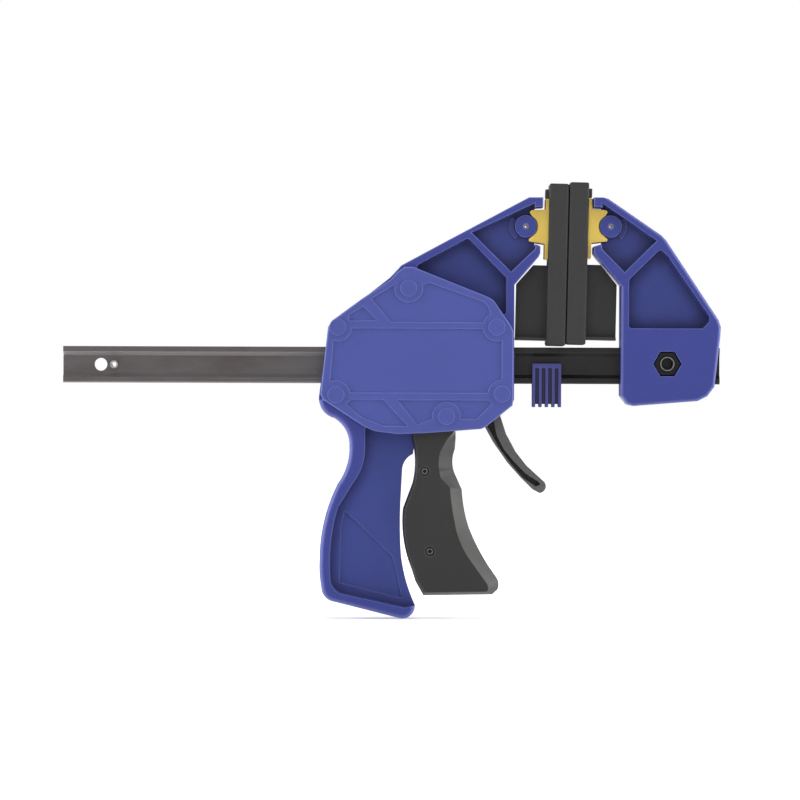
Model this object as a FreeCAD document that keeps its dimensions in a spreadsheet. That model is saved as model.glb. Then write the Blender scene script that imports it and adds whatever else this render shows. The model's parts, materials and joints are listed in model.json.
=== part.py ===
import FreeCAD, Part
import os
from types import SimpleNamespace

import Sketcher
from FreeCAD import Vector

# A one-handed quick release bar clamp with its jaws closed. X runs along the bar from the hang hole
# at its tail to the fixed jaw, Z is up towards the jaw tips and Y goes away from the viewer. The
# origin is the middle of the hang hole, on the bar's axis.

# Driving sizes in millimetres. Everything else is worked out from them.
SIZES = {
    # Rolled I-section bar
    "bar_length": 400.0,
    "bar_height": 22.2,
    "bar_thickness": 9.5,
    "bar_web": 3.2,
    "bar_lip": 3.3,
    "bar_taper": 2.2,
    "bar_tail": 22.9,
    "hang_hole_radius": 3.9,
    # Stop pin through the tail
    "stop_pin_setback": 8.2,
    "stop_pin_radius": 2.4,
    "stop_pin_bore": 1.5,
    "stop_pin_length": 15.0,
    # Jaws
    "fixed_spine_setback": 32.0,
    "throat_depth": 91.0,
    "jaw_width": 38.0,
    "web_thickness": 8.0,
    "nose_floor": 16.0,
    "jaw_edge_round": 1.0,
    "jaw_back_round": 2.4,
    "pocket_round": 2.0,
    "foot_length": 60.7,
    "foot_drop": 24.4,
    "spine_wall": 4.7,
    # Pad pivots in the jaw tips
    "pivot_setback": 25.8,
    "pivot_drop": 17.5,
    "pivot_boss_radius": 6.7,
    "pivot_boss_width": 28.0,
    "pivot_ridge_inner": 7.4,
    "pivot_ridge_outer": 9.9,
    "pivot_ridge_width": 20.0,
    "pad_pin_radius": 1.6,
    "pad_pin_bore": 0.8,
    "claw_reach": 10.4,
    "claw_gap": 10.9,
    "mouth_depth": 5.3,
    "tongue_radius": 5.4,
    "tongue_width": 8.0,
    "tongue_clearance": 0.5,
    # Pads
    "pad_gap": 0.4,
    "pad_thickness": 11.8,
    "pad_width": 36.0,
    "pad_overrun_top": 8.9,
    "pad_bar_gap": 1.3,
    "pad_rim": 1.8,
    "pad_base_thickness": 3.0,
    "pad_round": 2.4,
    "fin_reach": 30.7,
    "fin_thickness": 3.0,
    "fin_drop": 23.2,
    "fin_lift": 4.9,
    "fin_corner": 10.1,
    "fin_corner_drop": 11.9,
    "fin_foot_width": 16.0,
    "fin_foot_thickness": 1.9,
    "swivel_plate": 2.2,
    "swivel_plate_width": 27.0,
    "swivel_plate_rise": 17.0,
    "swivel_plate_drop": 19.6,
    "swivel_wing": 4.9,
    "swivel_hub_gap": 0.5,
    "lug_low": 17.6,
    "lug_high": 23.0,
    "lug_width": 16.0,
    # Moving jaw housing
    "moving_spine_setback": 32.8,
    "housing_length": 117.7,
    "rear_wall": 14.1,
    "stop_shoulder_depth": 26.9,
    "guide_wall": 3.2,
    "guide_half_height": 18.0,
    "floor_wall": 4.5,
    "floor_drop": 29.5,
    "front_wall": 8.3,
    "cavity_rise": 39.8,
    "bulkhead": 3.6,
    "grip_margin": 13.5,
    "slide_clearance": 0.35,
    "press_clearance": 0.1,
    # Covers
    "cover_rise": 59.5,
    "cover_drop": 41.9,
    "cover_thickness": 5.0,
    "cover_round": 1.2,
    "panel_depth": 0.9,
    "disc_radius": 5.0,
    "disc_height": 0.9,
    "ring_radius": 8.6,
    "screw_radius": 1.9,
    "screw_head_radius": 3.6,
    "screw_head_height": 2.3,
    "screw_clearance": 0.1,
    "screw_end_wall": 2.0,
    "post_radius": 4.0,
    # Trigger
    "trigger_setback": 50.9,
    "trigger_pivot_rise": 28.9,
    "trigger_drop": 168.9,
    "trigger_reach": 41.8,
    "trigger_width": 28.0,
    "trigger_core": 16.0,
    "trigger_eye": 9.5,
    "trigger_pin_radius": 3.0,
    "trigger_pin_socket": 2.4,
    "trigger_yoke_gap": 0.85,
    "trigger_slot_gap": 0.6,
    "trigger_push": 10.2,
    "trigger_nub": 2.5,
    "trigger_screw_radius": 1.7,
    "trigger_screw_head": 2.8,
    "trigger_screw_head_height": 2.0,
    "pin_boss_radius": 6.0,
    # Drive and brake
    "plate_thickness": 3.8,
    "plate_width": 24.0,
    "drive_plate_height": 36.0,
    "drive_hole_gap": 0.3,
    "spring_bore": 12.7,
    "drive_wire": 2.2,
    "brake_wire": 1.5,
    "spring_seat": 0.3,
    "brake_setback": 15.5,
    "brake_hinge_rise": 19.0,
    "brake_drop": 42.3,
    "brake_hole_gap": 0.5,
    "contact_gap": 0.3,
    # Release lever
    "lever_setback": 7.3,
    "lever_pivot_drop": 17.4,
    "lever_drop": 60.1,
    "lever_reach": 26.9,
    "lever_width": 16.0,
    "lever_web": 4.0,
    "lever_eye": 4.6,
    "lever_sleeve_radius": 3.0,
    "lever_side_gap": 0.4,
    # Jaw bolt
    "bolt_setback": 32.5,
    "bolt_rise": 1.2,
    "bolt_radius": 3.7,
    "bolt_bore": 3.0,
    "nut_flats": 14.0,
    "hex_flats": 15.0,
    "hex_depth": 9.0,
    "nut_height": 6.0,
    "nut_collar_radius": 4.7,
    "nut_collar_height": 1.6,
    # Clip that slides on the bar
    "clip_setback": 12.75,
    "clip_length": 17.7,
    "clip_rise": 1.3,
    "clip_drop": 23.4,
    "clip_tooth": 1.9,
    "clip_band": 2.9,
    "clip_floor": 0.9,
    "clip_rib": 1.9,
    "clip_rib_depth": 1.6,
    "clip_clearance": 0.3,
}

# Angles in degrees, turns as counts, and shares without a unit
ANGLES = {
    "pad_lean_degrees": 1.2,
    "brake_lean_degrees": 3.0,
    "drive_turns_count": 4.0,
    "brake_turns_count": 3.0,
}
# Cosine and sine of the trigger's full stroke of five and a half degrees
STROKE_SHARES = (0.9954, 0.0958)
CLIP_RIB_COUNT = 5

THROUGH = "through"


class Size:
    """A length: the text that a property is bound to, and what it comes to now."""

    def __init__(self, text, value):
        self.text = text
        self.value = value

    def __add__(self, other):
        other = as_size(other)
        return Size(f"({self.text} + {other.text})", self.value + other.value)

    __radd__ = __add__

    def __sub__(self, other):
        other = as_size(other)
        return Size(f"({self.text} - {other.text})", self.value - other.value)

    def __rsub__(self, other):
        return as_size(other) - self

    def __neg__(self):
        return Size(f"(-1 * {self.text})", -self.value)

    def __mul__(self, share):
        return Size(f"({self.text} * {share!r})", self.value * share)

    __rmul__ = __mul__

    def __truediv__(self, share):
        return Size(f"({self.text} / {share!r})", self.value / share)


def as_size(number):
    if isinstance(number, Size):
        return number
    return Size(repr(number), number)


def add_sheet(doc):
    sheet = doc.addObject("Spreadsheet::Sheet", "Sizes")
    for row, (name, number) in enumerate({**SIZES, **ANGLES}.items(), start=1):
        sheet.set(f"A{row}", name)
        sheet.set(f"B{row}", str(number))
        sheet.setAlias(f"B{row}", name)
    doc.recompute()
    return sheet


doc = FreeCAD.newDocument("BarClamp")
sheet = add_sheet(doc)
d = SimpleNamespace(**{name: Size(f"Sizes.{name}", number) for name, number in SIZES.items()})
parts = []

# Places and levels that several pieces share
bar_half = d.bar_height / 2
bar_side = d.bar_thickness / 2
bar_end = d.bar_length - d.bar_tail
jaw_height = bar_half + d.throat_depth
jaw_half = d.jaw_width / 2
web_half = d.web_thickness / 2
cover_face = jaw_half + d.cover_thickness
foot_x = bar_end - d.foot_length
pad_plane = foot_x - d.fixed_spine_setback
pivot_z = jaw_height - d.pivot_drop
fixed_pivot_x = pad_plane + d.pivot_setback
moving_pivot_x = pad_plane - d.pivot_setback
front_x = pad_plane - d.moving_spine_setback
rear_x = front_x - d.housing_length
trigger_x = front_x - d.trigger_setback
trigger_z = d.trigger_pivot_rise
grip_drop = d.trigger_drop - trigger_z + d.grip_margin
lever_x = front_x - d.lever_setback
lever_z = -d.lever_pivot_drop
brake_x = front_x - d.brake_setback
shoulder_x = rear_x + d.stop_shoulder_depth
guide_x = shoulder_x + d.guide_wall
drive_x = trigger_x - d.trigger_push - d.contact_gap


# Tools for outlines and features

def new_body(label, x=None, z=None):
    """A body with its own frame, placed on the mid-plane at x, z."""
    body = doc.addObject("PartDesign::Body", label)
    body.Label = label
    if x is not None:
        body.setExpression("Placement.Base.x", x.text)
    if z is not None:
        body.setExpression("Placement.Base.z", z.text)
    parts.append(body)
    return body


def base_plane(body, role):
    return [item for item in body.Origin.OriginFeatures if item.Role == role][0]


def new_sketch(body, plane, offset):
    sketch = body.newObject("Sketcher::SketchObject", f"{body.Label}_sketch")
    sketch.AttachmentSupport = [(base_plane(body, plane), "")]
    sketch.MapMode = "FlatFace"
    if offset is not None:
        sketch.setExpression("AttachmentOffset.Base.z", offset.text)
    return sketch


def bind_points(sketch, places):
    """Hold each (geometry, end, x, z) at its bound place."""
    wanted = []
    texts = []
    for index, end, x, z in places:
        wanted.append(Sketcher.Constraint("DistanceX", -1, 1, index, end, x.value))
        texts.append(x.text)
        wanted.append(Sketcher.Constraint("DistanceY", -1, 1, index, end, z.value))
        texts.append(z.text)
    first = len(sketch.Constraints)
    sketch.addConstraint(wanted)
    for step, text in enumerate(texts):
        sketch.setExpression(f"Constraints[{first + step}]", text)


def near_end(sketch, index, point):
    """1 or 2: which end of a curve lies at the point."""
    start_gap = sketch.getPoint(index, 1).distanceToPoint(point)
    return 1 if start_gap < sketch.getPoint(index, 2).distanceToPoint(point) else 2


def add_loop(sketch, points):
    """A closed loop of lines and arcs; a point marked THROUGH is on the arc past it."""
    corners = [step for step, point in enumerate(points) if len(point) == 2]
    edges = []
    for step, corner in enumerate(corners):
        after = corners[(step + 1) % len(corners)]
        middle = points[(corner + 1) % len(points)]
        start = Vector(points[corner][0].value, points[corner][1].value, 0)
        stop = Vector(points[after][0].value, points[after][1].value, 0)
        if len(middle) == 3:
            via = Vector(middle[0].value, middle[1].value, 0)
            index = sketch.addGeometry(Part.Arc(start, via, stop), False)
            edges.append((index, start, stop, middle))
        else:
            index = sketch.addGeometry(Part.LineSegment(start, stop), False)
            edges.append((index, start, stop, None))
    ends = []
    for index, start, stop, middle in edges:
        ends.append((index, near_end(sketch, index, start), near_end(sketch, index, stop)))
    joins = []
    places = []
    for step, (index, first, last) in enumerate(ends):
        following = ends[(step + 1) % len(ends)]
        joins.append(Sketcher.Constraint("Coincident", index, last, following[0], following[1]))
        corner = points[corners[step]]
        places.append((index, first, as_size(corner[0]), as_size(corner[1])))
    sketch.addConstraint(joins)
    for index, start, stop, middle in edges:
        if middle is None:
            continue
        via = Vector(middle[0].value, middle[1].value, 0)
        spot = sketch.addGeometry(Part.Point(via), True)
        sketch.addConstraint(Sketcher.Constraint("PointOnObject", spot, 1, index))
        places.append((spot, 1, middle[0], middle[1]))
    bind_points(sketch, places)


def outline(body, *loops, plane="XZ_Plane", offset=None):
    sketch = new_sketch(body, plane, offset)
    for points in loops:
        add_loop(sketch, [tuple(map(as_size, point[:2])) + point[2:] for point in points])
    return sketch


def circles(body, *rounds, plane="XZ_Plane", offset=None):
    """A sketch of circles, each given as x, z and radius."""
    sketch = new_sketch(body, plane, offset)
    for x, z, radius in rounds:
        x, z = as_size(x), as_size(z)
        centre = Vector(x.value, z.value, 0)
        index = sketch.addGeometry(Part.Circle(centre, Vector(0, 0, 1), radius.value), False)
        bind_points(sketch, [(index, 3, x, z)])
        held = sketch.addConstraint(Sketcher.Constraint("Radius", index, radius.value))
        sketch.setExpression(f"Constraints[{held}]", radius.text)
    return sketch


def extrude(body, kind, sketch, length, both, back):
    feature = body.newObject(f"PartDesign::{kind}", f"{body.Label}_{kind}")
    feature.Profile = (sketch, [""])
    feature.SideType = "Symmetric" if both else "One side"
    feature.Reversed = back
    feature.setExpression("Length", length.text)
    sketch.Visibility = False
    return feature


def pad(body, sketch, length, both=True, back=False):
    """Add the outline; one-sided pads grow towards the viewer unless back is set."""
    feature = extrude(body, "Pad", sketch, length, both, back)
    doc.recompute()
    return feature


def pocket(body, sketch, length, both=True, back=False):
    """Cut the outline away; one-sided pockets go away from the viewer unless back is set."""
    before = body.Shape.Volume
    feature = extrude(body, "Pocket", sketch, length, both, back)
    doc.recompute()
    if body.Shape.Volume >= before:
        raise ValueError(f"{feature.Name} cuts nothing")
    return feature


def round_corners(body, feature, corners, radius):
    """Round the edges that run through the thickness at the given corners."""
    names = []
    for index, edge in enumerate(feature.Shape.Edges, start=1):
        low, high = edge.Vertexes[0].Point, edge.Vertexes[-1].Point
        along = abs(high.y - low.y)
        if along < 0.5 * edge.Length or abs(high.x - low.x) > 1e-6:
            continue
        for x, z in corners:
            if abs(low.x - as_size(x).value) < 1e-3 and abs(low.z - as_size(z).value) < 1e-3:
                names.append(f"Edge{index}")
                break
    return fillet(body, feature, names, radius)


def round_faces(body, feature, level, radius):
    """Round the whole rim of each flat face that lies at one depth, the level."""
    names = []
    for index, face in enumerate(feature.Shape.Faces, start=1):
        box = face.BoundBox
        if box.YLength < 1e-6 and abs(box.YMin - level.value) < 1e-3:
            names.append(f"Face{index}")
    return fillet(body, feature, names, radius)


def round_rim(body, feature, corners, level, radius):
    """Round the edges at one depth, the level, that run from each corner to the next."""
    spots = [Vector(as_size(x).value, level.value, as_size(z).value) for x, z, *mark in corners]
    names = []
    for index, edge in enumerate(feature.Shape.Edges, start=1):
        low, high = edge.Vertexes[0].Point, edge.Vertexes[-1].Point
        for near, far in zip(spots, spots[1:]):
            ahead = low.distanceToPoint(near) + high.distanceToPoint(far)
            if min(ahead, low.distanceToPoint(far) + high.distanceToPoint(near)) < 1e-3:
                names.append(f"Edge{index}")
                break
    return fillet(body, feature, names, radius)


def fillet(body, feature, names, radius):
    rounding = body.newObject("PartDesign::Fillet", f"{body.Label}_Fillet")
    rounding.Base = (feature, names)
    rounding.setExpression("Radius", radius.text)
    doc.recompute()
    return rounding


def box_points(x_low, x_high, z_low, z_high):
    return [(x_low, z_low), (x_high, z_low), (x_high, z_high), (x_low, z_high)]


def hexagon(x, z, flats):
    """A hexagon with flats above and below."""
    half = flats / 2
    corner = flats * 0.57735
    return [
        (x + corner, z), (x + corner / 2, z + half), (x - corner / 2, z + half),
        (x - corner, z), (x - corner / 2, z - half), (x + corner / 2, z - half),
    ]


def scaled(shares, x_start, x_size, z_start, z_size):
    """Points from rows of shares, with THROUGH kept where a row has it."""
    return [(x_start + x_size * row[0], z_start + z_size * row[1], *row[2:]) for row in shares]


def ring(label, x, z, radius, bore, length):
    """A hollow pin across the clamp, centred on the mid-plane."""
    body = new_body(label, x, z)
    pad(body, circles(body, (0, 0, radius), (0, 0, bore)), length)
    return body


# The bar and what is fixed to it

def build_bar():
    body = new_body("bar")
    edge = bar_half - d.bar_lip
    inner = edge - d.bar_taper
    web = d.bar_web / 2
    half = [(bar_side, -bar_half), (bar_side, -edge), (web, -inner), (web, inner), (bar_side, edge),
            (bar_side, bar_half)]
    section = half + [(-y, z) for y, z in reversed(half)]
    pad(body, outline(body, section, plane="YZ_Plane", offset=-d.bar_tail), d.bar_length, both=False)
    holes = circles(
        body,
        (0, 0, d.hang_hole_radius),
        (d.stop_pin_setback, 0, d.stop_pin_radius),
        (bar_end - d.bolt_setback, d.bolt_rise, d.bolt_radius + d.press_clearance),
    )
    pocket(body, holes, d.bar_thickness)


def build_stop_pin():
    ring("tail_stop_pin", d.stop_pin_setback, as_size(0), d.stop_pin_radius, d.stop_pin_bore,
         d.stop_pin_length)


# Claw points of a jaw tip around the pad pivot, as shares of the reach and the gap
LOWER_CLAW_SHARES = ((0.84, -1.71), (1.0, -1.49), (1.0, -1.12), (0.56, -1.0), (0.52, -1.28))
SHORT_CLAW_SHARES = ((0.74, -1.71), (0.84, -1.49), (0.84, -1.12), (0.56, -1.0), (0.52, -1.28))
UPPER_CLAW_SHARES = ((0.5, 1.27), (0.5, 1.05), (1.0, 1.08))
# The ridge round the pivot's far side, as shares of its radius
RIDGE_OUTER_SHARES = ((-0.848, 0.530), (-0.990, -0.139, THROUGH), (-0.669, -0.743))
RIDGE_INNER_SHARES = ((-0.669, -0.743), (-0.990, -0.139, THROUGH), (-0.848, 0.530))


def claw_points(shares, side, pivot_x):
    """Points around the pivot; side is 1 where the pad lies towards +X and -1 where not."""
    return scaled(shares, pivot_x, d.claw_reach * side, pivot_z, d.claw_gap)


def add_nose(body, nose_low, nose_far, lower, upper, side, pivot_x):
    """The floor of the jaw tip, its pivot bosses, the slot for the tongue and the pin's hole."""
    floor_x = pivot_x + d.mouth_depth * side
    floor = [lower[-1], nose_low, nose_far, upper[0], (floor_x, upper[0][1]), (floor_x, lower[-1][1])]
    pad(body, outline(body, floor), d.nose_floor)
    ridge = []
    for shares, radius in ((RIDGE_OUTER_SHARES, d.pivot_ridge_outer),
                           (RIDGE_INNER_SHARES, d.pivot_ridge_inner)):
        ridge += scaled(shares, pivot_x, radius * side, pivot_z, radius)
    pad(body, outline(body, ridge), d.pivot_ridge_width)
    pad(body, circles(body, (pivot_x, pivot_z, d.pivot_boss_radius)), d.pivot_boss_width)
    tall = d.tongue_radius + d.tongue_clearance * 2
    deep = pivot_x - (d.tongue_radius + d.tongue_clearance) * side
    mouth = pivot_x + (d.pivot_boss_radius + d.mouth_depth) * side
    slot = box_points(deep, mouth, pivot_z - tall, pivot_z + tall)
    pocket(body, outline(body, slot), d.tongue_width + d.tongue_clearance * 2)
    pocket(body, circles(body, (pivot_x, pivot_z, d.pad_pin_radius)), d.jaw_width)


FIXED_TOP_SHARES = ((0.402, 0.776), (0.449, 0.747), (0.976, 0.274), (1.0, 0.232), (0.995, 0.18))
FIXED_FOOT_SHARES = ((0.937, -0.516), (0.865, -0.754), (0.769, -0.873), (0.13, -1.0),
                     (0.068, -0.959), (0.0, -0.746))
FIXED_POCKET_SHARES = ((0.389, 0.694), (0.465, 0.652), (0.882, 0.296), (0.882, 0.262),
                       (0.82, 0.222))


def build_fixed_jaw():
    """The jaw at the bar's end, in a frame on its spine; the pad lies towards -X."""
    body = new_body("fixed_jaw", foot_x)
    pivot_x = fixed_pivot_x - foot_x
    spine_top = jaw_height * 0.479
    lower = claw_points(LOWER_CLAW_SHARES, -1, pivot_x)
    upper = claw_points(UPPER_CLAW_SHARES, -1, pivot_x)
    nose_low = (d.foot_length * 0.036, jaw_height * 0.556)
    nose_far = (d.foot_length * 0.356, jaw_height * 0.744)
    tip = [
        (pivot_x - d.claw_reach, jaw_height),
        (pivot_x - d.claw_reach * 0.45, jaw_height),
        (pivot_x - d.claw_reach * 0.14, jaw_height - d.pivot_drop * 0.05),
    ]
    top = scaled(FIXED_TOP_SHARES, 0, d.foot_length, 0, jaw_height)
    foot = scaled(FIXED_FOOT_SHARES, 0, d.foot_length, 0, d.foot_drop)
    shell = [(0, spine_top), *lower, nose_low, nose_far, *upper, *tip, *top, *foot]
    hollow = [
        (d.spine_wall, jaw_height * 0.512),
        *scaled(FIXED_POCKET_SHARES, 0, d.foot_length, 0, jaw_height),
        (d.spine_wall, jaw_height * 0.222),
    ]
    block = pad(body, outline(body, shell), d.jaw_width)
    back_rim = [tip[-1], *top, *foot, shell[0]]
    for level in (-jaw_half, jaw_half):
        block = round_rim(body, block, back_rim, level, d.jaw_back_round)
        for rim in ([shell[0], *lower, nose_low, nose_far], [*upper, *tip]):
            block = round_rim(body, block, rim, level, d.jaw_edge_round)
    block = pocket(body, outline(body, hollow), d.jaw_width)
    round_corners(body, block, hollow, d.pocket_round)
    pad(body, outline(body, hollow), d.web_thickness)
    add_nose(body, nose_low, nose_far, lower, upper, -1, pivot_x)
    channel = box_points(-bar_side - d.press_clearance, bar_side + d.press_clearance,
                         -bar_half - d.press_clearance, bar_half + d.press_clearance)
    pocket(body, outline(body, channel, plane="YZ_Plane"), d.bar_length)
    bolt_x = d.foot_length - d.bolt_setback
    pocket(body, circles(body, (bolt_x, d.bolt_rise, d.bolt_radius + d.press_clearance)), d.jaw_width)
    for side in (1, -1):
        recess = hexagon(bolt_x, d.bolt_rise, d.hex_flats)
        face = outline(body, recess, offset=jaw_half * side)
        pocket(body, face, d.hex_depth, both=False, back=side == -1)


def build_jaw_bolt():
    """A bolt through the fixed jaw and the bar, with its head at the back."""
    body = new_body("jaw_bolt", bar_end - d.bolt_setback, d.bolt_rise)
    seat = jaw_half - d.hex_depth
    shank = circles(body, (0, 0, d.bolt_radius), offset=-seat)
    pad(body, shank, seat * 2 + d.nut_height, both=False)
    pad(body, outline(body, hexagon(as_size(0), as_size(0), d.nut_flats), offset=-seat),
        d.nut_height, both=False, back=True)
    tip = circles(body, (0, 0, d.bolt_bore), offset=seat + d.nut_height)
    pocket(body, tip, d.nut_height, both=False)


def build_jaw_nut():
    """The nut at the front, in the hexagonal recess, with its round collar."""
    body = new_body("jaw_nut", bar_end - d.bolt_setback, d.bolt_rise)
    seat = jaw_half - d.hex_depth
    prism = outline(body, hexagon(as_size(0), as_size(0), d.nut_flats), offset=seat)
    pad(body, prism, d.nut_height, both=False)
    collar = circles(body, (0, 0, d.nut_collar_radius), offset=seat + d.nut_height)
    pad(body, collar, d.nut_collar_height, both=False)
    pocket(body, circles(body, (0, 0, d.bolt_radius)), d.jaw_width)


# Pads: the swivel on its pin, the base with its fin and the soft face

# The swivel's side wing around the boss, as shares of the boss radius
WING_SHARES = ((0.45, 1.386), (0.28, 1.217), (0.46, 0.90), (0.80, 0.60), (1.0, 0.0, THROUGH),
               (0.80, -0.60), (0.46, -0.90), (0.27, -1.06), (0.28, -1.26))


def new_pad_body(label, pivot_x):
    """A body on a pad's pivot, leaning as the closed pads do."""
    body = new_body(label, pivot_x, pivot_z)
    body.Placement.Rotation = FreeCAD.Rotation(Vector(0, 1, 0), ANGLES["pad_lean_degrees"])
    body.setExpression("Placement.Rotation.Angle", "Sizes.pad_lean_degrees")
    return body


def build_swivel(label, side, pivot_x):
    body = new_pad_body(label, pivot_x)
    back = (d.pivot_setback - d.pad_gap / 2 - d.pad_thickness) * side
    inner = back - d.swivel_plate * side
    plate = box_points(inner, back, -d.swivel_plate_drop, d.swivel_plate_rise)
    pad(body, outline(body, plate), d.swivel_plate_width)
    hub = d.pivot_boss_radius + d.swivel_hub_gap
    shares = [(row[0] * side, *row[1:]) for row in WING_SHARES]
    wing = scaled(shares, 0, hub, 0, hub)
    wing = [(inner, hub * 1.45), *wing, (inner, -hub * 1.45)]
    for face in (1, -1):
        start = (d.pivot_boss_width / 2 - d.swivel_hub_gap - d.swivel_wing) * face
        sketch = outline(body, wing, offset=start)
        pad(body, sketch, d.swivel_wing, both=False, back=face == -1)
    r = d.tongue_radius
    tongue = [(0, -r), (-r * side, 0, THROUGH), (0, r), (inner, r), (inner, -r)]
    pad(body, outline(body, [(as_size(x), as_size(z), *mark) for x, z, *mark in tongue]),
        d.tongue_width)
    hole = d.pad_pin_radius + d.press_clearance
    pocket(body, circles(body, (0, 0, hole)), d.jaw_width)


def build_pad_base(label, side, pivot_x):
    """The stiff plate behind the pad with the fin that fills the throat behind it."""
    body = new_pad_body(label, pivot_x)
    back = (d.pivot_setback - d.pad_gap / 2 - d.pad_thickness) * side
    front = back + d.pad_base_thickness * side
    low = bar_half + d.pad_bar_gap - pivot_z
    high = d.pivot_drop + d.pad_overrun_top
    plate = box_points(back, front, low + d.pad_rim, high - d.pad_rim)
    pad(body, outline(body, plate), d.pad_width - d.pad_rim * 2)
    tip = (d.pivot_setback - d.fin_reach) * side
    top = -d.fin_drop
    foot = low + d.fin_lift
    fin = [(back, foot), (tip, foot), (tip, top - d.fin_corner_drop),
           (tip + d.fin_corner * side, top), (back, top)]
    pad(body, outline(body, fin), d.fin_thickness)
    sole = box_points(tip, back, foot - d.fin_foot_thickness, foot)
    pad(body, outline(body, sole), d.fin_foot_width)
    lug = box_points(back - d.swivel_plate * side, back, d.lug_low, d.lug_high)
    pad(body, outline(body, lug), d.lug_width)


def build_cushion(label, side, pivot_x):
    """The non-marking face with its rounded corners, hollow where the base sits in it."""
    body = new_pad_body(label, pivot_x)
    back = (d.pivot_setback - d.pad_gap / 2 - d.pad_thickness) * side
    front = back + d.pad_thickness * side
    low = bar_half + d.pad_bar_gap - pivot_z
    high = d.pivot_drop + d.pad_overrun_top
    corners = box_points(back, front, low, high)
    block = pad(body, outline(body, corners), d.pad_width)
    block = round_corners(body, block, [corners[0], corners[3]], d.pad_round)
    block = round_faces(body, block, -d.pad_width / 2, d.pad_rim / 2)
    round_faces(body, block, d.pad_width / 2, d.pad_rim / 2)
    bed = box_points(back - d.pad_rim * side, back + d.pad_base_thickness * side,
                     low + d.pad_rim, high - d.pad_rim)
    pocket(body, outline(body, bed), d.pad_width - d.pad_rim * 2)


def build_pads():
    for name, side, pivot_x in (("fixed", -1, fixed_pivot_x), ("moving", 1, moving_pivot_x)):
        ring(f"{name}_pad_pin", pivot_x, pivot_z, d.pad_pin_radius, d.pad_pin_bore,
             d.pivot_boss_width)
        build_swivel(f"{name}_pad_swivel", side, pivot_x)
        build_pad_base(f"{name}_pad_base", side, pivot_x)
        build_cushion(f"{name}_pad_cushion", side, pivot_x)


# The moving jaw: arm, housing and grip in one moulding, in a frame on its front face

# Rows of x as shares of the housing's length forward of its rear, z of the height named beside it
ARM_TOP_SHARES = ((0.659, 0.744), (0.417, 0.593))
SHOULDER_SHARES = ((0.358, 0.89), (0.213, 0.665), (0.063, 0.445), (0.042, 0.376))
GRIP_BACK_SHARES = (
    (-0.006, 0.127), (0.016, 0.182, THROUGH), (0.073, 0.210), (0.131, 0.255, THROUGH),
    (0.152, 0.314), (0.140, 0.395, THROUGH), (0.091, 0.472), (0.025, 0.609, THROUGH),
    (-0.001, 0.772), (0.000, 0.831, THROUGH), (0.009, 0.882), (0.031, 0.920, THROUGH),
    (0.076, 0.937), (0.407, 1.0), (0.467, 0.992, THROUGH), (0.492, 0.952),
)
RIM_SHARES = (
    (0.439, 0.960), (0.133, 0.909), (0.076, 0.887, THROUGH), (0.054, 0.840),
    (0.057, 0.697, THROUGH), (0.094, 0.562), (0.171, 0.466), (0.215, 0.404, THROUGH),
    (0.232, 0.329),
)
ARM_POCKET_SHARES = ((0.498, 0.594), (0.760, 0.757), (0.959, 0.521), (0.959, 0.279),
                     (0.872, 0.362), (0.502, 0.534))
GRIP_PANEL_SHARES = ((0.127, 0.578), (0.374, 0.758), (0.393, 0.816), (0.425, 0.925), (0.101, 0.863),
                     (0.108, 0.640))
# The grip's front edge behind the trigger, in shares of the trigger's reach and drop
WEB_EDGE_SHARES = (
    (-0.337, 0.953, THROUGH), (-0.415, 0.858), (-0.433, 0.751, THROUGH), (-0.418, 0.621),
    (-0.404, 0.552), (-0.357, 0.514, THROUGH), (-0.246, 0.491), (-0.218, 0.443), (-0.218, 0.396),
)


def web_edge():
    """The front edge of the grip's web around the trigger's pivot, up from the grip's tip."""
    x, z = from_front(GRIP_BACK_SHARES[-1:], -grip_drop)[0]
    tip = (x + d.trigger_setback, z - trigger_z)
    return [tip, *scaled(WEB_EDGE_SHARES, 0, d.trigger_reach, 0, -d.trigger_drop)]


def from_front(shares, z_size):
    return scaled(shares, -d.housing_length, d.housing_length, 0, z_size)


def cavity_points():
    """The way round the housing's inside, from the floor's underside to the front wall."""
    rear = d.rear_wall - d.housing_length
    guide = guide_x - front_x
    pivot = -d.trigger_setback
    floor_end = pivot - d.trigger_reach * 0.428
    bulkhead_x = pivot + d.trigger_reach * 0.34
    ahead = bulkhead_x + d.bulkhead
    post = -d.brake_setback + d.contact_gap
    wall = -d.front_wall
    top = d.cavity_rise
    underside = -d.floor_drop - d.floor_wall
    return [
        (floor_end, underside), (floor_end, -d.floor_drop),
        (rear, -d.floor_drop), (rear, -d.guide_half_height),
        (guide, -d.guide_half_height), (guide, d.guide_half_height),
        (rear, d.guide_half_height), (rear, top * 0.68), (rear + d.rear_wall * 1.1, top * 0.94),
        (rear + d.rear_wall * 2.3, top), (bulkhead_x, top),
        (bulkhead_x, -d.guide_half_height), (ahead, -d.guide_half_height), (ahead, top * 0.955),
        (post, top * 0.72), (post, d.brake_hinge_rise * 0.76), (wall, d.brake_hinge_rise * 0.76),
        (wall, -d.cover_drop * 0.68), (-d.front_wall * 0.19, -d.cover_drop * 0.56),
        (0, -d.cover_drop * 0.5),
    ]


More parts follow.
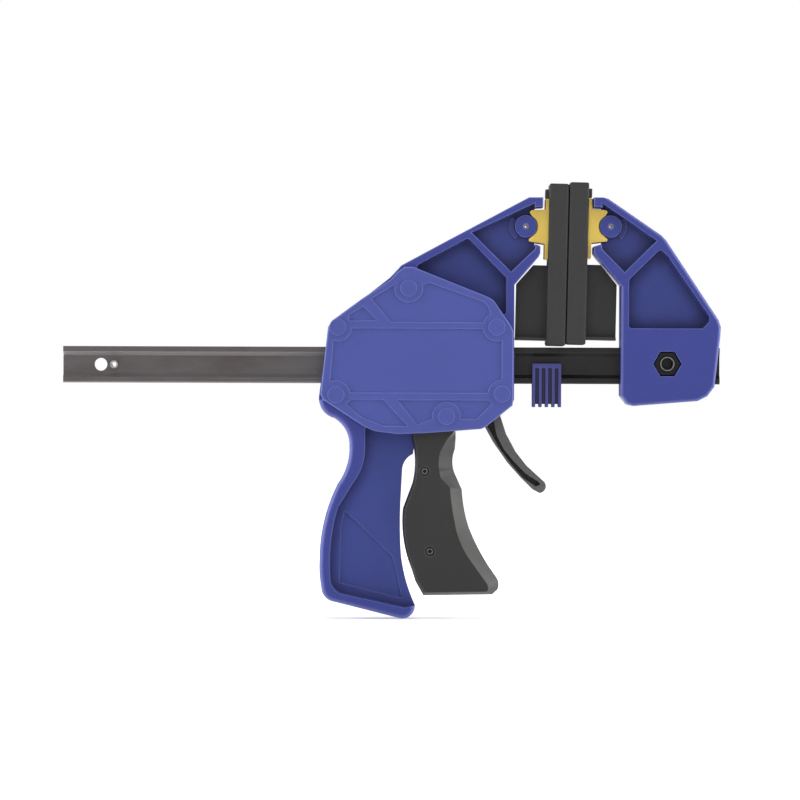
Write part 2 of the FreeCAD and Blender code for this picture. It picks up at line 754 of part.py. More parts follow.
def build_jaw_frame():
    body = new_body("jaw_frame", front_x)
    pivot_x = moving_pivot_x - front_x
    lower = claw_points(SHORT_CLAW_SHARES, 1, pivot_x)
    upper = claw_points(UPPER_CLAW_SHARES, 1, pivot_x)
    nose_low = (-d.housing_length * 0.017, jaw_height * 0.557)
    nose_far = (-d.housing_length * 0.221, jaw_height * 0.789)
    tip = [
        (pivot_x + d.claw_reach, jaw_height), (pivot_x + d.claw_reach * 0.17, jaw_height),
    ]
    back = from_front(GRIP_BACK_SHARES, -grip_drop)
    rim = from_front(RIM_SHARES, -grip_drop)
    underside = -d.floor_drop - d.floor_wall
    rim_top = (rim[-1][0], underside)
    shell = [
        (0, jaw_height * 0.478), *lower, nose_low, nose_far, *upper, *tip,
        *from_front(ARM_TOP_SHARES, jaw_height), *from_front(SHOULDER_SHARES, d.cover_rise),
        *back, *rim, rim_top, *cavity_points(),
    ]
    hollow = from_front(ARM_POCKET_SHARES, jaw_height)
    block = pad(body, outline(body, shell), d.jaw_width)
    arm = shell[:shell.index(back[0]) - len(SHOULDER_SHARES) + 1]
    for level in (-jaw_half, jaw_half):
        block = round_rim(body, block, arm, level, d.jaw_edge_round)
    block = pocket(body, outline(body, hollow), d.jaw_width)
    round_corners(body, block, hollow, d.pocket_round)
    pad(body, outline(body, hollow), d.web_thickness)
    pivot = -d.trigger_setback
    edge = [(x + pivot, z + trigger_z, *mark) for x, z, *mark in web_edge()]
    floor_end = pivot - d.trigger_reach * 0.428
    grip = [*edge, (floor_end, underside), rim_top, *reversed(rim)]
    pad(body, outline(body, grip), d.web_thickness)
    for face in (1, -1):
        panel = outline(body, from_front(GRIP_PANEL_SHARES, -grip_drop), offset=web_half * face)
        pocket(body, panel, d.panel_depth, both=False, back=face == -1)
    add_nose(body, nose_low, nose_far, lower, upper, 1, pivot_x)
    cut_housing(body)


def cut_housing(body):
    """The bar's channel, the notch for the stop pin, the lever's slot and the screw holes."""
    side = bar_side + d.slide_clearance
    half = bar_half + d.slide_clearance
    channel = box_points(-side, side, -half, half)
    pocket(body, outline(body, channel, plane="YZ_Plane"), d.housing_length * 3)
    wide = d.stop_pin_length / 2 + d.slide_clearance
    tall = d.stop_pin_radius + d.slide_clearance
    notch = outline(body, box_points(-wide, wide, -tall, tall), plane="YZ_Plane",
                    offset=shoulder_x - front_x)
    pocket(body, notch, d.housing_length, both=False)
    slot = box_points(-d.lever_setback - d.lever_eye - d.contact_gap, d.front_wall, -d.cover_drop,
                      -bar_half)
    pocket(body, outline(body, slot), d.lever_width + d.lever_side_gap * 2)
    holes = [(x, z, d.screw_radius + d.screw_clearance) for x, z in screw_places()[:4]]
    pocket(body, circles(body, *holes), d.jaw_width)
    sleeve = d.lever_sleeve_radius + d.press_clearance
    pocket(body, circles(body, (-d.lever_setback, lever_z, sleeve)), d.jaw_width)


def screw_places():
    """Screws around the housing in the moving jaw's frame; the last two carry sleeves."""
    return [
        (-d.housing_length * 0.545, d.cover_rise * 0.783),
        (-d.housing_length + d.rear_wall * 0.75, d.cover_rise * 0.385),
        (-d.lever_setback * 1.45, d.cover_rise * 0.39),
        (-d.housing_length + d.rear_wall * 0.68, -d.cover_drop * 0.432),
        (-d.lever_setback, lever_z),
        (-d.trigger_setback + d.trigger_reach * 0.237, trigger_z - d.trigger_drop * 0.355),
    ]


# Covers over the housing

COVER_TOP_SHARES = ((0.399, 0.949), (0.434, 1.0), (0.482, 1.0), (0.522, 0.966), (0.866, 0.696),
                    (0.893, 0.662), (0.983, 0.403), (0.996, 0.340))
COVER_LOW_SHARES = ((0.996, 0.480), (0.992, 0.580), (0.855, 0.890), (0.831, 0.922), (0.545, 0.985),
                    (0.400, 1.0), (0.283, 0.960), (0.228, 0.895), (0.014, 0.501), (0.002, 0.420))
COVER_BACK_SHARES = ((0.040, 0.383), (0.062, 0.452), (0.213, 0.672), (0.358, 0.864))
UPPER_PANEL_SHARES = ((0.561, 0.842), (0.843, 0.646), (0.871, 0.579))
UPPER_PANEL_LEFT_SHARES = ((0.365, 0.435), (0.261, 0.677))
CORNER_PANEL_SHARES = ((0.148, 0.447), (0.148, 0.508), (0.221, 0.600), (0.294, 0.454))
LEFT_PANEL_SHARES = ((0.133, 0.568), (0.158, 0.499), (0.327, 0.499), (0.455, 0.885),
                     (0.330, 0.885), (0.220, 0.770))
RIGHT_PANEL_SHARES = ((0.502, 0.864), (0.399, 0.506), (0.875, 0.506), (0.882, 0.570), (0.806, 0.783))
# Where the fields keep clear of the ring round each screw, as shares of the ring's radius
TOP_RING_SHARES = ((-0.966, 0.259), (0.0, -1.0, THROUGH), (0.966, 0.259))
SIDE_RING_SHARES = ((-0.480, 0.877), (-0.800, 0.600, THROUGH), (-0.950, 0.312))
LOW_RING_SHARES = ((0.980, -0.199), (0.0, 1.0, THROUGH), (-0.980, -0.199))
# The same round the middle field: rear top, front top, front low and rear low
MIDDLE_RING_SHARES = (
    ((-0.300, -0.954), (0.660, -0.751, THROUGH), (0.997, -0.081)),
    ((-0.993, -0.116), (-0.500, -0.866, THROUGH), (0.360, -0.933)),
    ((-0.020, 1.0), (-0.707, 0.707, THROUGH), (-0.998, 0.058)),
    ((0.990, 0.140), (0.650, 0.760, THROUGH), (-0.430, 0.903)),
)


def cover_outline():
    return (from_front(COVER_BACK_SHARES, d.cover_rise) + from_front(COVER_TOP_SHARES, d.cover_rise)
            + from_front(COVER_LOW_SHARES, -d.cover_drop))


def cover_fields():
    """The sunk fields of a cover, which bend round the rings of the screws."""
    places = screw_places()

    def ring_points(shares, step):
        x, z = places[step]
        return scaled(shares, x, d.ring_radius, z, d.ring_radius)

    upper = [
        *from_front(UPPER_PANEL_SHARES, d.cover_rise), *ring_points(SIDE_RING_SHARES, 2),
        *from_front(UPPER_PANEL_LEFT_SHARES, d.cover_rise), *ring_points(TOP_RING_SHARES, 0),
    ]
    right = [*from_front(RIGHT_PANEL_SHARES, -d.cover_drop), *ring_points(LOW_RING_SHARES, 5)]
    middle = []
    for shares, step in zip(MIDDLE_RING_SHARES, (1, 2, 4, 3)):
        middle += ring_points(shares, step)
    return [
        upper, from_front(CORNER_PANEL_SHARES, d.cover_rise),
        from_front(LEFT_PANEL_SHARES, -d.cover_drop), right, middle,
    ]


def build_cover(label, face):
    """face is 1 for the front cover and -1 for the one at the back."""
    body = new_body(label, front_x)
    rear = face == -1
    edge = cover_outline()
    plate = pad(body, outline(body, edge, offset=jaw_half * face), d.cover_thickness, both=False,
                back=rear)
    round_faces(body, plate, -cover_face * face, d.cover_round)
    pocket(body, outline(body, *cover_fields(), offset=cover_face * face), d.panel_depth, both=False,
           back=rear)
    places = screw_places()
    pin = (-d.trigger_setback, trigger_z)
    boss = jaw_half - d.trigger_width / 2 - d.contact_gap
    pad(body, circles(body, (*pin, d.pin_boss_radius), offset=jaw_half * face), boss, both=False,
        back=not rear)
    socket = circles(body, (*pin, d.trigger_pin_radius + d.press_clearance),
                     offset=(jaw_half + d.trigger_pin_socket) * face)
    pocket(body, socket, boss + d.trigger_pin_socket, both=False, back=rear)
    hole = d.screw_radius + d.screw_clearance
    holes = [(x, z, hole) for x, z in places]
    if face == 1:
        discs = [(x, z, d.disc_radius) for x, z in places]
        pad(body, circles(body, *discs, offset=cover_face - d.panel_depth),
            d.panel_depth + d.disc_height, both=False)
        blind = circles(body, *holes, offset=cover_face - d.screw_end_wall)
        pocket(body, blind, d.cover_thickness - d.screw_end_wall, both=False)
        return
    pocket(body, circles(body, *holes, offset=-jaw_half), d.cover_thickness, both=False)
    heads = [(x, z, d.screw_head_radius + d.screw_clearance) for x, z in places]
    sink = circles(body, *heads, offset=-cover_face)
    pocket(body, sink, d.screw_head_height + d.panel_depth, both=False, back=True)


def build_cover_screws():
    """Six screws put in from the back, with cross recesses in their heads."""
    seat = cover_face - d.screw_head_height - d.panel_depth
    reach = seat + cover_face - d.screw_end_wall - d.screw_clearance
    for step, (x, z) in enumerate(screw_places(), start=1):
        body = new_body(f"cover_screw_{step}", front_x + x, z)
        pad(body, circles(body, (0, 0, d.screw_radius), offset=-seat), reach, both=False)
        pad(body, circles(body, (0, 0, d.screw_head_radius), offset=-seat), d.screw_head_height,
            both=False, back=True)
        cut_cross(body, d.screw_head_radius, -seat - d.screw_head_height, d.screw_head_height, True)


def cut_cross(body, head_radius, level, height, rear):
    """A cross recess in a screw's head, half as deep as the head."""
    long = head_radius * 0.55
    short = head_radius * 0.16
    bars = [
        (long, -short), (long, short), (short, short), (short, long), (-short, long),
        (-short, short), (-long, short), (-long, -short), (-short, -short), (-short, -long),
        (short, -long), (short, -short),
    ]
    pocket(body, outline(body, bars, offset=level), height * 0.6, both=False, back=rear)


def build_sleeves():
    """Spacer tubes round two of the screws: the lever's pivot and the trigger's rest."""
    bore = d.screw_radius + d.screw_clearance
    x, z = screw_places()[4]
    ring("release_lever_pin", front_x + x, z, d.lever_sleeve_radius, bore, d.jaw_width)
    x, z = screw_places()[5]
    ring("trigger_rest_post", front_x + x, z, d.post_radius, bore, d.jaw_width)


# Trigger, in a frame on its pivot

# Rows of x as shares of the reach and z as shares of the drop below the pivot
TRIGGER_TOP_SHARES = ((0.299, -0.083), (0.299, -0.213), (0.134, -0.308), (0.134, -0.386),
                      (0.373, -0.404))
TRIGGER_FRONT_SHARES = (
    (0.374, -0.435), (0.361, -0.475), (0.328, -0.521, THROUGH), (0.385, -0.573), (0.467, -0.619),
    (0.500, -0.688, THROUGH), (0.572, -0.756), (0.711, -0.831, THROUGH), (0.873, -0.899),
    (0.975, -0.935), (1.006, -0.957, THROUGH), (0.985, -0.980), (0.909, -0.996),
)
TRIGGER_FACET_SHARES = (
    (0.244, -0.440), (0.151, -0.483), (0.129, -0.522, THROUGH), (0.165, -0.579), (0.294, -0.610),
    (0.320, -0.672, THROUGH), (0.366, -0.740), (0.464, -0.818, THROUGH), (0.610, -0.879),
    (0.838, -0.957), (0.852, -0.970, THROUGH), (0.848, -0.980), (0.833, -0.986),
)
TRIGGER_BACK_SHARES = (
    (-0.089, -1.0), (-0.205, -0.950), (-0.263, -0.905), (-0.378, -0.803, THROUGH), (-0.390, -0.688),
    (-0.252, -0.596), (-0.218, -0.510, THROUGH), (-0.263, -0.436),
)
TRIGGER_BACK_INSET_SHARES = (
    (-0.069, -0.990), (-0.180, -0.942), (-0.233, -0.900), (-0.348, -0.802, THROUGH), (-0.359, -0.689),
    (-0.222, -0.598), (-0.188, -0.510, THROUGH), (-0.234, -0.436),
)
TRIGGER_NECK_SHARES = ((-0.263, -0.391), (-0.239, -0.296), (-0.177, -0.275))
TRIGGER_SCREW_SHARES = ((-0.077, -0.553), (0.005, -0.841))


def trigger_outline(front, back):
    """The whole trigger from the eye down its front and up its back to the nub on the drive."""
    eye = d.trigger_eye
    push = -d.trigger_push
    recess = push + d.trigger_nub * 1.1
    nub = d.trigger_nub
    reach, drop = d.trigger_reach, d.trigger_drop
    return [
        (-eye, 0), (0, eye, THROUGH), (eye, 0),
        *scaled(TRIGGER_TOP_SHARES, 0, reach, 0, drop), *scaled(front, 0, reach, 0, drop),
        *scaled(back, 0, reach, 0, drop), *scaled(TRIGGER_NECK_SHARES, 0, reach, 0, drop),
        (recess, -trigger_z - nub * 1.7), (push, -trigger_z - nub), (push, -trigger_z + nub),
        (recess, -trigger_z + nub * 1.7), (recess, -eye * 1.05),
    ]


def slot_points():
    """The slot that takes the grip's web at full squeeze, open at the trigger's back."""
    along, across = STROKE_SHARES
    edge = []
    for x, z, *mark in web_edge():
        turned = (x * along - z * across + d.trigger_slot_gap, z * along + x * across)
        edge.append((*turned, *mark))
    high = -trigger_z - d.guide_half_height
    back = -d.trigger_reach
    return [*edge, (edge[-1][0], high), (back, high), (back, edge[0][1])]


def build_trigger_half(label, face):
    body = new_body(label, trigger_x, trigger_z)
    rear = face == -1
    core = d.trigger_core / 2
    full = trigger_outline(TRIGGER_FRONT_SHARES, TRIGGER_BACK_SHARES)
    faceted = trigger_outline(TRIGGER_FACET_SHARES, TRIGGER_BACK_INSET_SHARES)
    pad(body, outline(body, full), core, both=False, back=rear)
    inner = outline(body, full, offset=core * face)
    outer = outline(body, faceted, offset=d.trigger_width / 2 * face)
    side = body.newObject("PartDesign::AdditiveLoft", f"{label}_Loft")
    side.Profile = (inner, [""])
    side.Sections = [(outer, [""])]
    side.Ruled = True
    doc.recompute()
    yoke = bar_side + d.trigger_yoke_gap
    reach = d.trigger_reach
    arms = box_points(-reach, reach, -trigger_z - d.guide_half_height, d.trigger_eye * 2)
    pocket(body, outline(body, arms), yoke * 2)
    pocket(body, outline(body, slot_points()), d.web_thickness + d.trigger_slot_gap * 2)
    pin = d.trigger_pin_radius + d.press_clearance
    pocket(body, circles(body, (0, 0, pin)), d.jaw_width)
    places = scaled(TRIGGER_SCREW_SHARES, 0, reach, 0, d.trigger_drop)
    hole = d.trigger_screw_radius + d.press_clearance
    pocket(body, circles(body, *[(x, z, hole) for x, z in places]), d.jaw_width)
    head = d.trigger_screw_head + d.press_clearance
    sink = circles(body, *[(x, z, head) for x, z in places], offset=d.trigger_width / 2 * face)
    pocket(body, sink, d.trigger_screw_head_height + d.panel_depth, both=False, back=rear)


def build_trigger_screws():
    """Two screws that hold the trigger's halves together, heads at the front."""
    seat = d.trigger_width / 2 - d.trigger_screw_head_height - d.panel_depth
    places = scaled(TRIGGER_SCREW_SHARES, 0, d.trigger_reach, 0, d.trigger_drop)
    for step, (x, z) in enumerate(places, start=1):
        body = new_body(f"trigger_screw_{step}", trigger_x + x, trigger_z + z)
        pad(body, circles(body, (0, 0, d.trigger_screw_radius)), seat * 2)
        head = circles(body, (0, 0, d.trigger_screw_head), offset=seat)
        pad(body, head, d.trigger_screw_head_height, both=False)
        cut_cross(body, d.trigger_screw_head, seat + d.trigger_screw_head_height,
                  d.trigger_screw_head_height, False)


def build_trigger():
    build_trigger_half("trigger_front", 1)
    build_trigger_half("trigger_rear", -1)
    build_trigger_screws()
    body = new_body("trigger_pin", trigger_x, trigger_z)
    pad(body, circles(body, (0, 0, d.trigger_pin_radius)), (jaw_half + d.trigger_pin_socket) * 2)


# Drive plates, brake plates and their springs round the bar

def add_plate(body, x_low, z_low, z_high, hole_middle, hole_gap):
    thick = d.plate_thickness
    plate = box_points(x_low, x_low + thick, z_low, z_high)
    pad(body, outline(body, plate), d.plate_width)
    wide = bar_side + hole_gap
    half = bar_half + hole_gap
    hole = box_points(-wide, wide, hole_middle - half, hole_middle + half)
    pocket(body, outline(body, hole, plane="YZ_Plane"), d.housing_length)


def build_drive():
    for step in (1, 2):
        body = new_body(f"drive_plate_{step}", drive_x)
        half = d.drive_plate_height / 2
        add_plate(body, -d.plate_thickness * step, -half, half, as_size(0), d.drive_hole_gap)
    spring_end = drive_x - d.plate_thickness * 2 - d.spring_seat
    length = spring_end - guide_x - d.spring_seat
    build_spring("drive_spring", guide_x + d.spring_seat, length, d.drive_wire, "drive_turns_count")


def build_brake():
    lean = ANGLES["brake_lean_degrees"]
    for step in (1, 2):
        body = new_body(f"brake_plate_{step}", brake_x, d.brake_hinge_rise)
        body.Placement.Rotation = FreeCAD.Rotation(Vector(0, -1, 0), lean)
        body.setExpression("Placement.Rotation.Angle", "Sizes.brake_lean_degrees")
        add_plate(body, -d.plate_thickness * step, -d.brake_drop, as_size(0),
                  -d.brake_hinge_rise, d.brake_hole_gap)
    start = -d.trigger_setback + d.trigger_reach * 0.34 + d.bulkhead + front_x + d.spring_seat
    length = brake_x - d.plate_thickness * 2 - start - d.spring_seat
    build_spring("brake_spring", start, length, d.brake_wire, "brake_turns_count")


def build_spring(label, start, length, wire, turns):
    """An open coil round the bar."""
    body = new_body(label, start)
    profile = circles(body, (wire / 2, d.spring_bore + wire / 2, wire / 2))
    coil = body.newObject("PartDesign::AdditiveHelix", f"{label}_coil")
    coil.Profile = (profile, [""])
    coil.ReferenceAxis = (base_plane(body, "X_Axis"), [""])
    coil.Mode = "height-turns-angle"
    coil.setExpression("Height", (length - wire).text)
    coil.setExpression("Turns", f"Sizes.{turns}")
    doc.recompute()


# Release lever, in a frame on its pivot

LEVER_FRONT_SHARES = (
    (0.119, -0.077), (-0.022, -0.173), (-0.026, -0.226), (0.100, -0.403), (0.316, -0.581),
    (0.569, -0.725), (0.948, -0.879), (1.0, -0.95, THROUGH), (0.859, -1.0),
)
LEVER_BACK_SHARES = (
    (0.714, -0.967), (0.457, -0.855), (0.134, -0.694), (-0.190, -0.484), (-0.368, -0.339),
    (-0.297, -0.208), (-0.208, -0.123), (-0.205, -0.080),
)
LEVER_RECESS_SHARES = (
    (-0.300, -0.262), (-0.318, -0.330), (-0.082, -0.524), (0.164, -0.679), (0.472, -0.842),
    (0.766, -0.933), (0.885, -0.915), (0.818, -0.882), (0.543, -0.804), (0.268, -0.679),
    (0.041, -0.556), (-0.115, -0.416), (-0.190, -0.262),
)


def build_release_lever():
    body = new_body("release_lever", lever_x, lever_z)
    eye = d.lever_eye
    reach, drop = d.lever_reach, d.lever_drop
    profile = [
        (-eye, 0), (0, eye, THROUGH), (eye, 0), *scaled(LEVER_FRONT_SHARES, 0, reach, 0, drop),
        *scaled(LEVER_BACK_SHARES, 0, reach, 0, drop),
    ]
    pad(body, outline(body, profile), d.lever_width)
    recess = scaled(LEVER_RECESS_SHARES, 0, reach, 0, drop)
    pocket(body, outline(body, recess), d.lever_width)
    pad(body, outline(body, recess), d.lever_web)
    hole = d.lever_sleeve_radius + d.press_clearance
    pocket(body, circles(body, (0, 0, hole)), d.jaw_width)


# Clip that slides on the bar's lower flange

def build_clip():
    body = new_body("bar_clip", pad_plane - d.clip_setback)
    side = bar_side + d.clip_clearance
    floor = side + d.clip_floor
    face = floor + d.clip_rib_depth
    half = d.clip_length / 2
    pad(body, outline(body, box_points(-half, half, -d.clip_drop, d.clip_rise)), floor * 2)
    pad(body, outline(body, box_points(-half, half, d.clip_rise - d.clip_band, d.clip_rise)), face * 2)
    rib = pad(body, outline(body, box_points(-half, d.clip_rib - half, -d.clip_drop - d.clip_tooth,
                                             d.clip_rise)), face * 2)
    row = body.newObject("PartDesign::LinearPattern", "bar_clip_ribs")
    row.Originals = [rib]
    row.Direction = (base_plane(body, "X_Axis"), [""])
    row.setExpression("Length", (d.clip_length - d.clip_rib).text)
    row.Occurrences = CLIP_RIB_COUNT
    body.Tip = row
    doc.recompute()
    gap = d.clip_clearance
    lip = bar_half - d.bar_lip
    web = d.bar_web / 2 + gap
    neck = lip - d.bar_taper - gap
    half_bed = [(side, -bar_half - gap), (side, -lip + gap), (web, -neck + gap), (web, d.clip_rise * 2)]
    bed = half_bed + [(-y, z) for y, z in reversed(half_bed)]
    pocket(body, outline(body, bed, plane="YZ_Plane"), d.clip_length * 2)


def check_document():
    for item in doc.Objects:
        if "Invalid" in item.State or "Error" in item.State:
            raise ValueError(f"{item.Name} is {item.State}")
    for body in parts:
        if body.Shape.isNull() or not body.Shape.isValid():
            raise ValueError(f"{body.Label} has no valid shape")
        if len(body.Shape.Solids) != 1:
            raise ValueError(f"{body.Label} is {len(body.Shape.Solids)} solids")


def export_parts():
    os.makedirs("parts", exist_ok=True)
    for body in parts:
        body.Shape.exportStep(f"parts/{body.Label}.step")


build_bar()
build_stop_pin()
build_fixed_jaw()
build_jaw_bolt()
build_jaw_nut()
build_pads()
build_jaw_frame()
build_cover("front_cover", 1)
build_cover("rear_cover", -1)
build_cover_screws()
build_sleeves()
build_trigger()
build_drive()
build_brake()
build_release_lever()
build_clip()
doc.recompute()
check_document()
export_parts()
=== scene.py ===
"""Looks for the one-handed quick release bar clamp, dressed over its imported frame."""

import json
import math

import bmesh
import bpy
import numpy as np
from mathutils import Matrix, Vector


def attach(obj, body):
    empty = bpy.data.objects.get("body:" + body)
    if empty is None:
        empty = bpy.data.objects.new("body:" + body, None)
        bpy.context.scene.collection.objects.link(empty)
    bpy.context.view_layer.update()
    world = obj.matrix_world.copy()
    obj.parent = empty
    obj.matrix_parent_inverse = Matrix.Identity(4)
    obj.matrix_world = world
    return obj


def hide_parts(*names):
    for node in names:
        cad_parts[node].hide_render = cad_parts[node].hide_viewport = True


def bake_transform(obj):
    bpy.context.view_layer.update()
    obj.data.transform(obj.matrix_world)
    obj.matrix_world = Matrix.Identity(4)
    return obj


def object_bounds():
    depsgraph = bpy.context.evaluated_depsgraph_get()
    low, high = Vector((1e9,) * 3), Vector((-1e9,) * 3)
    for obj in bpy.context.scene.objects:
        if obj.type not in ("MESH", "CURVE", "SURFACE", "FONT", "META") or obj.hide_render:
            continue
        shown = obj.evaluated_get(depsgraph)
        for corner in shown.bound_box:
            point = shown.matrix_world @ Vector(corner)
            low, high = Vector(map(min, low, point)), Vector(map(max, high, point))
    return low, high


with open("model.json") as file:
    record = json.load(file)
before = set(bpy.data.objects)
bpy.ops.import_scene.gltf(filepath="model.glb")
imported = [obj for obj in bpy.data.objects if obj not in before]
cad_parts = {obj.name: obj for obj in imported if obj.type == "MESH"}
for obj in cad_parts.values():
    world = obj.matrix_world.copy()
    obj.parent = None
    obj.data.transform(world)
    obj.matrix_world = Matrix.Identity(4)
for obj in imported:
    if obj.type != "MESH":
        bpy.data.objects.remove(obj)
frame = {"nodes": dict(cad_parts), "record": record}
nodes = frame["nodes"]
cad_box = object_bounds()

MM = 0.001
MERGE_DISTANCE = 0.002 * MM
FACE_TOLERANCE = 0.01 * MM
FLAT_ANGLE = math.radians(0.4)


# Shader tools

def linear(red, green, blue):
    """An sRGB colour of 0 to 255 as linear RGBA, by the sRGB transfer curve."""
    shares = np.array([red, green, blue]) / 255
    curve = np.where(shares <= 0.04045, shares / 12.92, ((shares + 0.055) / 1.055) ** 2.4)
    return (*curve.tolist(), 1.0)


def new_group(name, inputs, outputs):
    """A shader node group with named float or vector sockets."""
    tree = bpy.data.node_groups.new(name, "ShaderNodeTree")
    kinds = {"float": "NodeSocketFloat", "vector": "NodeSocketVector"}
    for label, kind in inputs:
        tree.interface.new_socket(name=label, in_out="INPUT", socket_type=kinds[kind])
    for label, kind in outputs:
        tree.interface.new_socket(name=label, in_out="OUTPUT", socket_type=kinds[kind])
    return tree, tree.nodes.new("NodeGroupInput"), tree.nodes.new("NodeGroupOutput")


def add(tree, kind, values=None, **settings):
    """A new node with its settings and the values of its own sockets."""
    node = tree.nodes.new(kind)
    for key, value in settings.items():
        setattr(node, key, value)
    for key, value in (values or {}).items():
        node.inputs[key].default_value = value
    return node


def math_node(tree, operation, first, second=None, clamp=False):
    node = add(tree, "ShaderNodeMath", operation=operation, use_clamp=clamp)
    for socket, value in zip(node.inputs, (first, second)):
        if value is None:
            continue
        if isinstance(value, (int, float)):
            socket.default_value = value
        else:
            tree.links.new(value, socket)
    return node.outputs[0]


def noise(tree, scale, detail, roughness, stretch=None):
    """Noise in object space, drawn out along the axes by stretch."""
    coords = add(tree, "ShaderNodeTexCoord").outputs["Object"]
    if stretch is not None:
        mapping = add(tree, "ShaderNodeMapping", {"Scale": stretch})
        tree.links.new(coords, mapping.inputs["Vector"])
        coords = mapping.outputs["Vector"]
    texture = add(tree, "ShaderNodeTexNoise", {"Detail": detail, "Roughness": roughness})
    tree.links.new(coords, texture.inputs["Vector"])
    if isinstance(scale, (int, float)):
        texture.inputs["Scale"].default_value = scale
    else:
        tree.links.new(scale, texture.inputs["Scale"])
    return texture.outputs["Fac"]


def build_edge_group():
    """Mask of the moulded and machined edges, where highlights are painted: how far the rounded normal
    turns from the true one.
    """
    tree, given, out = new_group("edge_light", [("Radius", "float"), ("Gain", "float")],
                                 [("Mask", "float")])
    bevel = add(tree, "ShaderNodeBevel", samples=6)
    tree.links.new(given.outputs["Radius"], bevel.inputs["Radius"])
    true = add(tree, "ShaderNodeNewGeometry").outputs["Normal"]
    dot = add(tree, "ShaderNodeVectorMath", operation="DOT_PRODUCT")
    tree.links.new(bevel.outputs[0], dot.inputs[0])
    tree.links.new(true, dot.inputs[1])
    turned = math_node(tree, "SUBTRACT", 1.0, dot.outputs["Value"])
    mask = math_node(tree, "MULTIPLY", turned, given.outputs["Gain"], clamp=True)
    tree.links.new(mask, out.inputs["Mask"])
    return tree


def build_grain_group():
    """The fine pitted texture of a spark-eroded mould, as a height."""
    tree, given, out = new_group("mould_grain", [("Scale", "float")], [("Height", "float")])
    fine = noise(tree, given.outputs["Scale"], detail=3.0, roughness=0.6)
    tree.links.new(fine, out.inputs["Height"])
    return tree


def build_tone_group():
    """Slow uneven tone over a surface, from 0 to 1 around a half."""
    tree, given, out = new_group("uneven_tone", [("Scale", "float"), ("Gain", "float")],
                                 [("Value", "float")])
    slow = noise(tree, given.outputs["Scale"], detail=3.0, roughness=0.55)
    centred = math_node(tree, "SUBTRACT", slow, 0.5)
    gained = math_node(tree, "MULTIPLY", centred, given.outputs["Gain"])
    value = math_node(tree, "ADD", gained, 0.5, clamp=True)
    tree.links.new(value, out.inputs["Value"])
    return tree


def build_depth_group():
    """How deep a point lies towards the clamp's mid-plane, for the light and shade painted in
    recesses: 0 on the outside, 1 on the webs.
    """
    tree, given, out = new_group("recess_depth", [("Outer", "float"), ("Inner", "float")],
                                 [("Mask", "float")])
    coords = add(tree, "ShaderNodeTexCoord").outputs["Object"]
    split = add(tree, "ShaderNodeSeparateXYZ")
    tree.links.new(coords, split.inputs[0])
    away = math_node(tree, "ABSOLUTE", split.outputs["Y"])
    ranged = add(tree, "ShaderNodeMapRange", {"To Min": 0.0, "To Max": 1.0},
                 interpolation_type="SMOOTHSTEP")
    tree.links.new(away, ranged.inputs["Value"])
    tree.links.new(given.outputs["Outer"], ranged.inputs["From Min"])
    tree.links.new(given.outputs["Inner"], ranged.inputs["From Max"])
    tree.links.new(ranged.outputs["Result"], out.inputs["Mask"])
    return tree


def build_rim_group():
    """Mask of moulded radii and chamfers, where a highlight is painted: 1 where a surface leans
    between a side face and a wall.
    """
    tree, given, out = new_group("rim_highlight", [("Gain", "float")], [("Mask", "float")])
    split = add(tree, "ShaderNodeSeparateXYZ")
    tree.links.new(add(tree, "ShaderNodeNewGeometry").outputs["Normal"], split.inputs[0])
    facing = math_node(tree, "ABSOLUTE", split.outputs["Y"])
    rise = add(tree, "ShaderNodeMapRange", {"From Min": 0.98, "From Max": 0.70})
    fall = add(tree, "ShaderNodeMapRange", {"From Min": 0.12, "From Max": 0.35})
    for node in (rise, fall):
        tree.links.new(facing, node.inputs["Value"])
    both = math_node(tree, "MULTIPLY", rise.outputs["Result"], fall.outputs["Result"])
    tree.links.new(math_node(tree, "MULTIPLY", both, given.outputs["Gain"], clamp=True),
                   out.inputs["Mask"])
    return tree


def build_ring_group():
    """Mask of a circle about an axis along Y, where a highlight ring is painted: 1 on its radius,
    falling to 0 half a width away.
    """
    tree, given, out = new_group("highlight_ring", [("Centre", "vector"), ("Radius", "float"),
                                                 ("Width", "float")], [("Mask", "float")])
    away = add(tree, "ShaderNodeVectorMath", operation="SUBTRACT")
    tree.links.new(add(tree, "ShaderNodeTexCoord").outputs["Object"], away.inputs[0])
    tree.links.new(given.outputs["Centre"], away.inputs[1])
    across = add(tree, "ShaderNodeVectorMath", {1: (1.0, 0.0, 1.0)}, operation="MULTIPLY")
    tree.links.new(away.outputs["Vector"], across.inputs[0])
    distance = add(tree, "ShaderNodeVectorMath", operation="LENGTH")
    tree.links.new(across.outputs["Vector"], distance.inputs[0])
    off = math_node(tree, "SUBTRACT", distance.outputs["Value"], given.outputs["Radius"])
    ranged = add(tree, "ShaderNodeMapRange", {"From Max": 0.0}, interpolation_type="SMOOTHSTEP")
    tree.links.new(math_node(tree, "ABSOLUTE", off), ranged.inputs["Value"])
    tree.links.new(math_node(tree, "MULTIPLY", given.outputs["Width"], 0.5),
                   ranged.inputs["From Min"])
    tree.links.new(ranged.outputs["Result"], out.inputs["Mask"])
    return tree


edge_highlight_group = build_edge_group()
highlight_ring_group = build_ring_group()
rim_highlight_group = build_rim_group()
grain_group = build_grain_group()
tone_group = build_tone_group()
depth_group = build_depth_group()


def place_group(tree, group, **values):
    node = add(tree, "ShaderNodeGroup", node_tree=group)
    for label, value in values.items():
        node.inputs[label].default_value = value
    return node.outputs[0]


# Where the Mix node keeps its colour sockets
COLOUR_FIRST, COLOUR_SECOND, COLOUR_RESULT = 6, 7, 2


def mix_colour(tree, mask, first, second):
    """The first colour where the mask is 0, the second where it is 1."""
    node = add(tree, "ShaderNodeMix", data_type="RGBA")
    for index, value in ((COLOUR_FIRST, first), (COLOUR_SECOND, second)):
        if isinstance(value, tuple):
            node.inputs[index].default_value = value
        else:
            tree.links.new(value, node.inputs[index])
    tree.links.new(mask, node.inputs["Factor"])
    return node.outputs[COLOUR_RESULT]


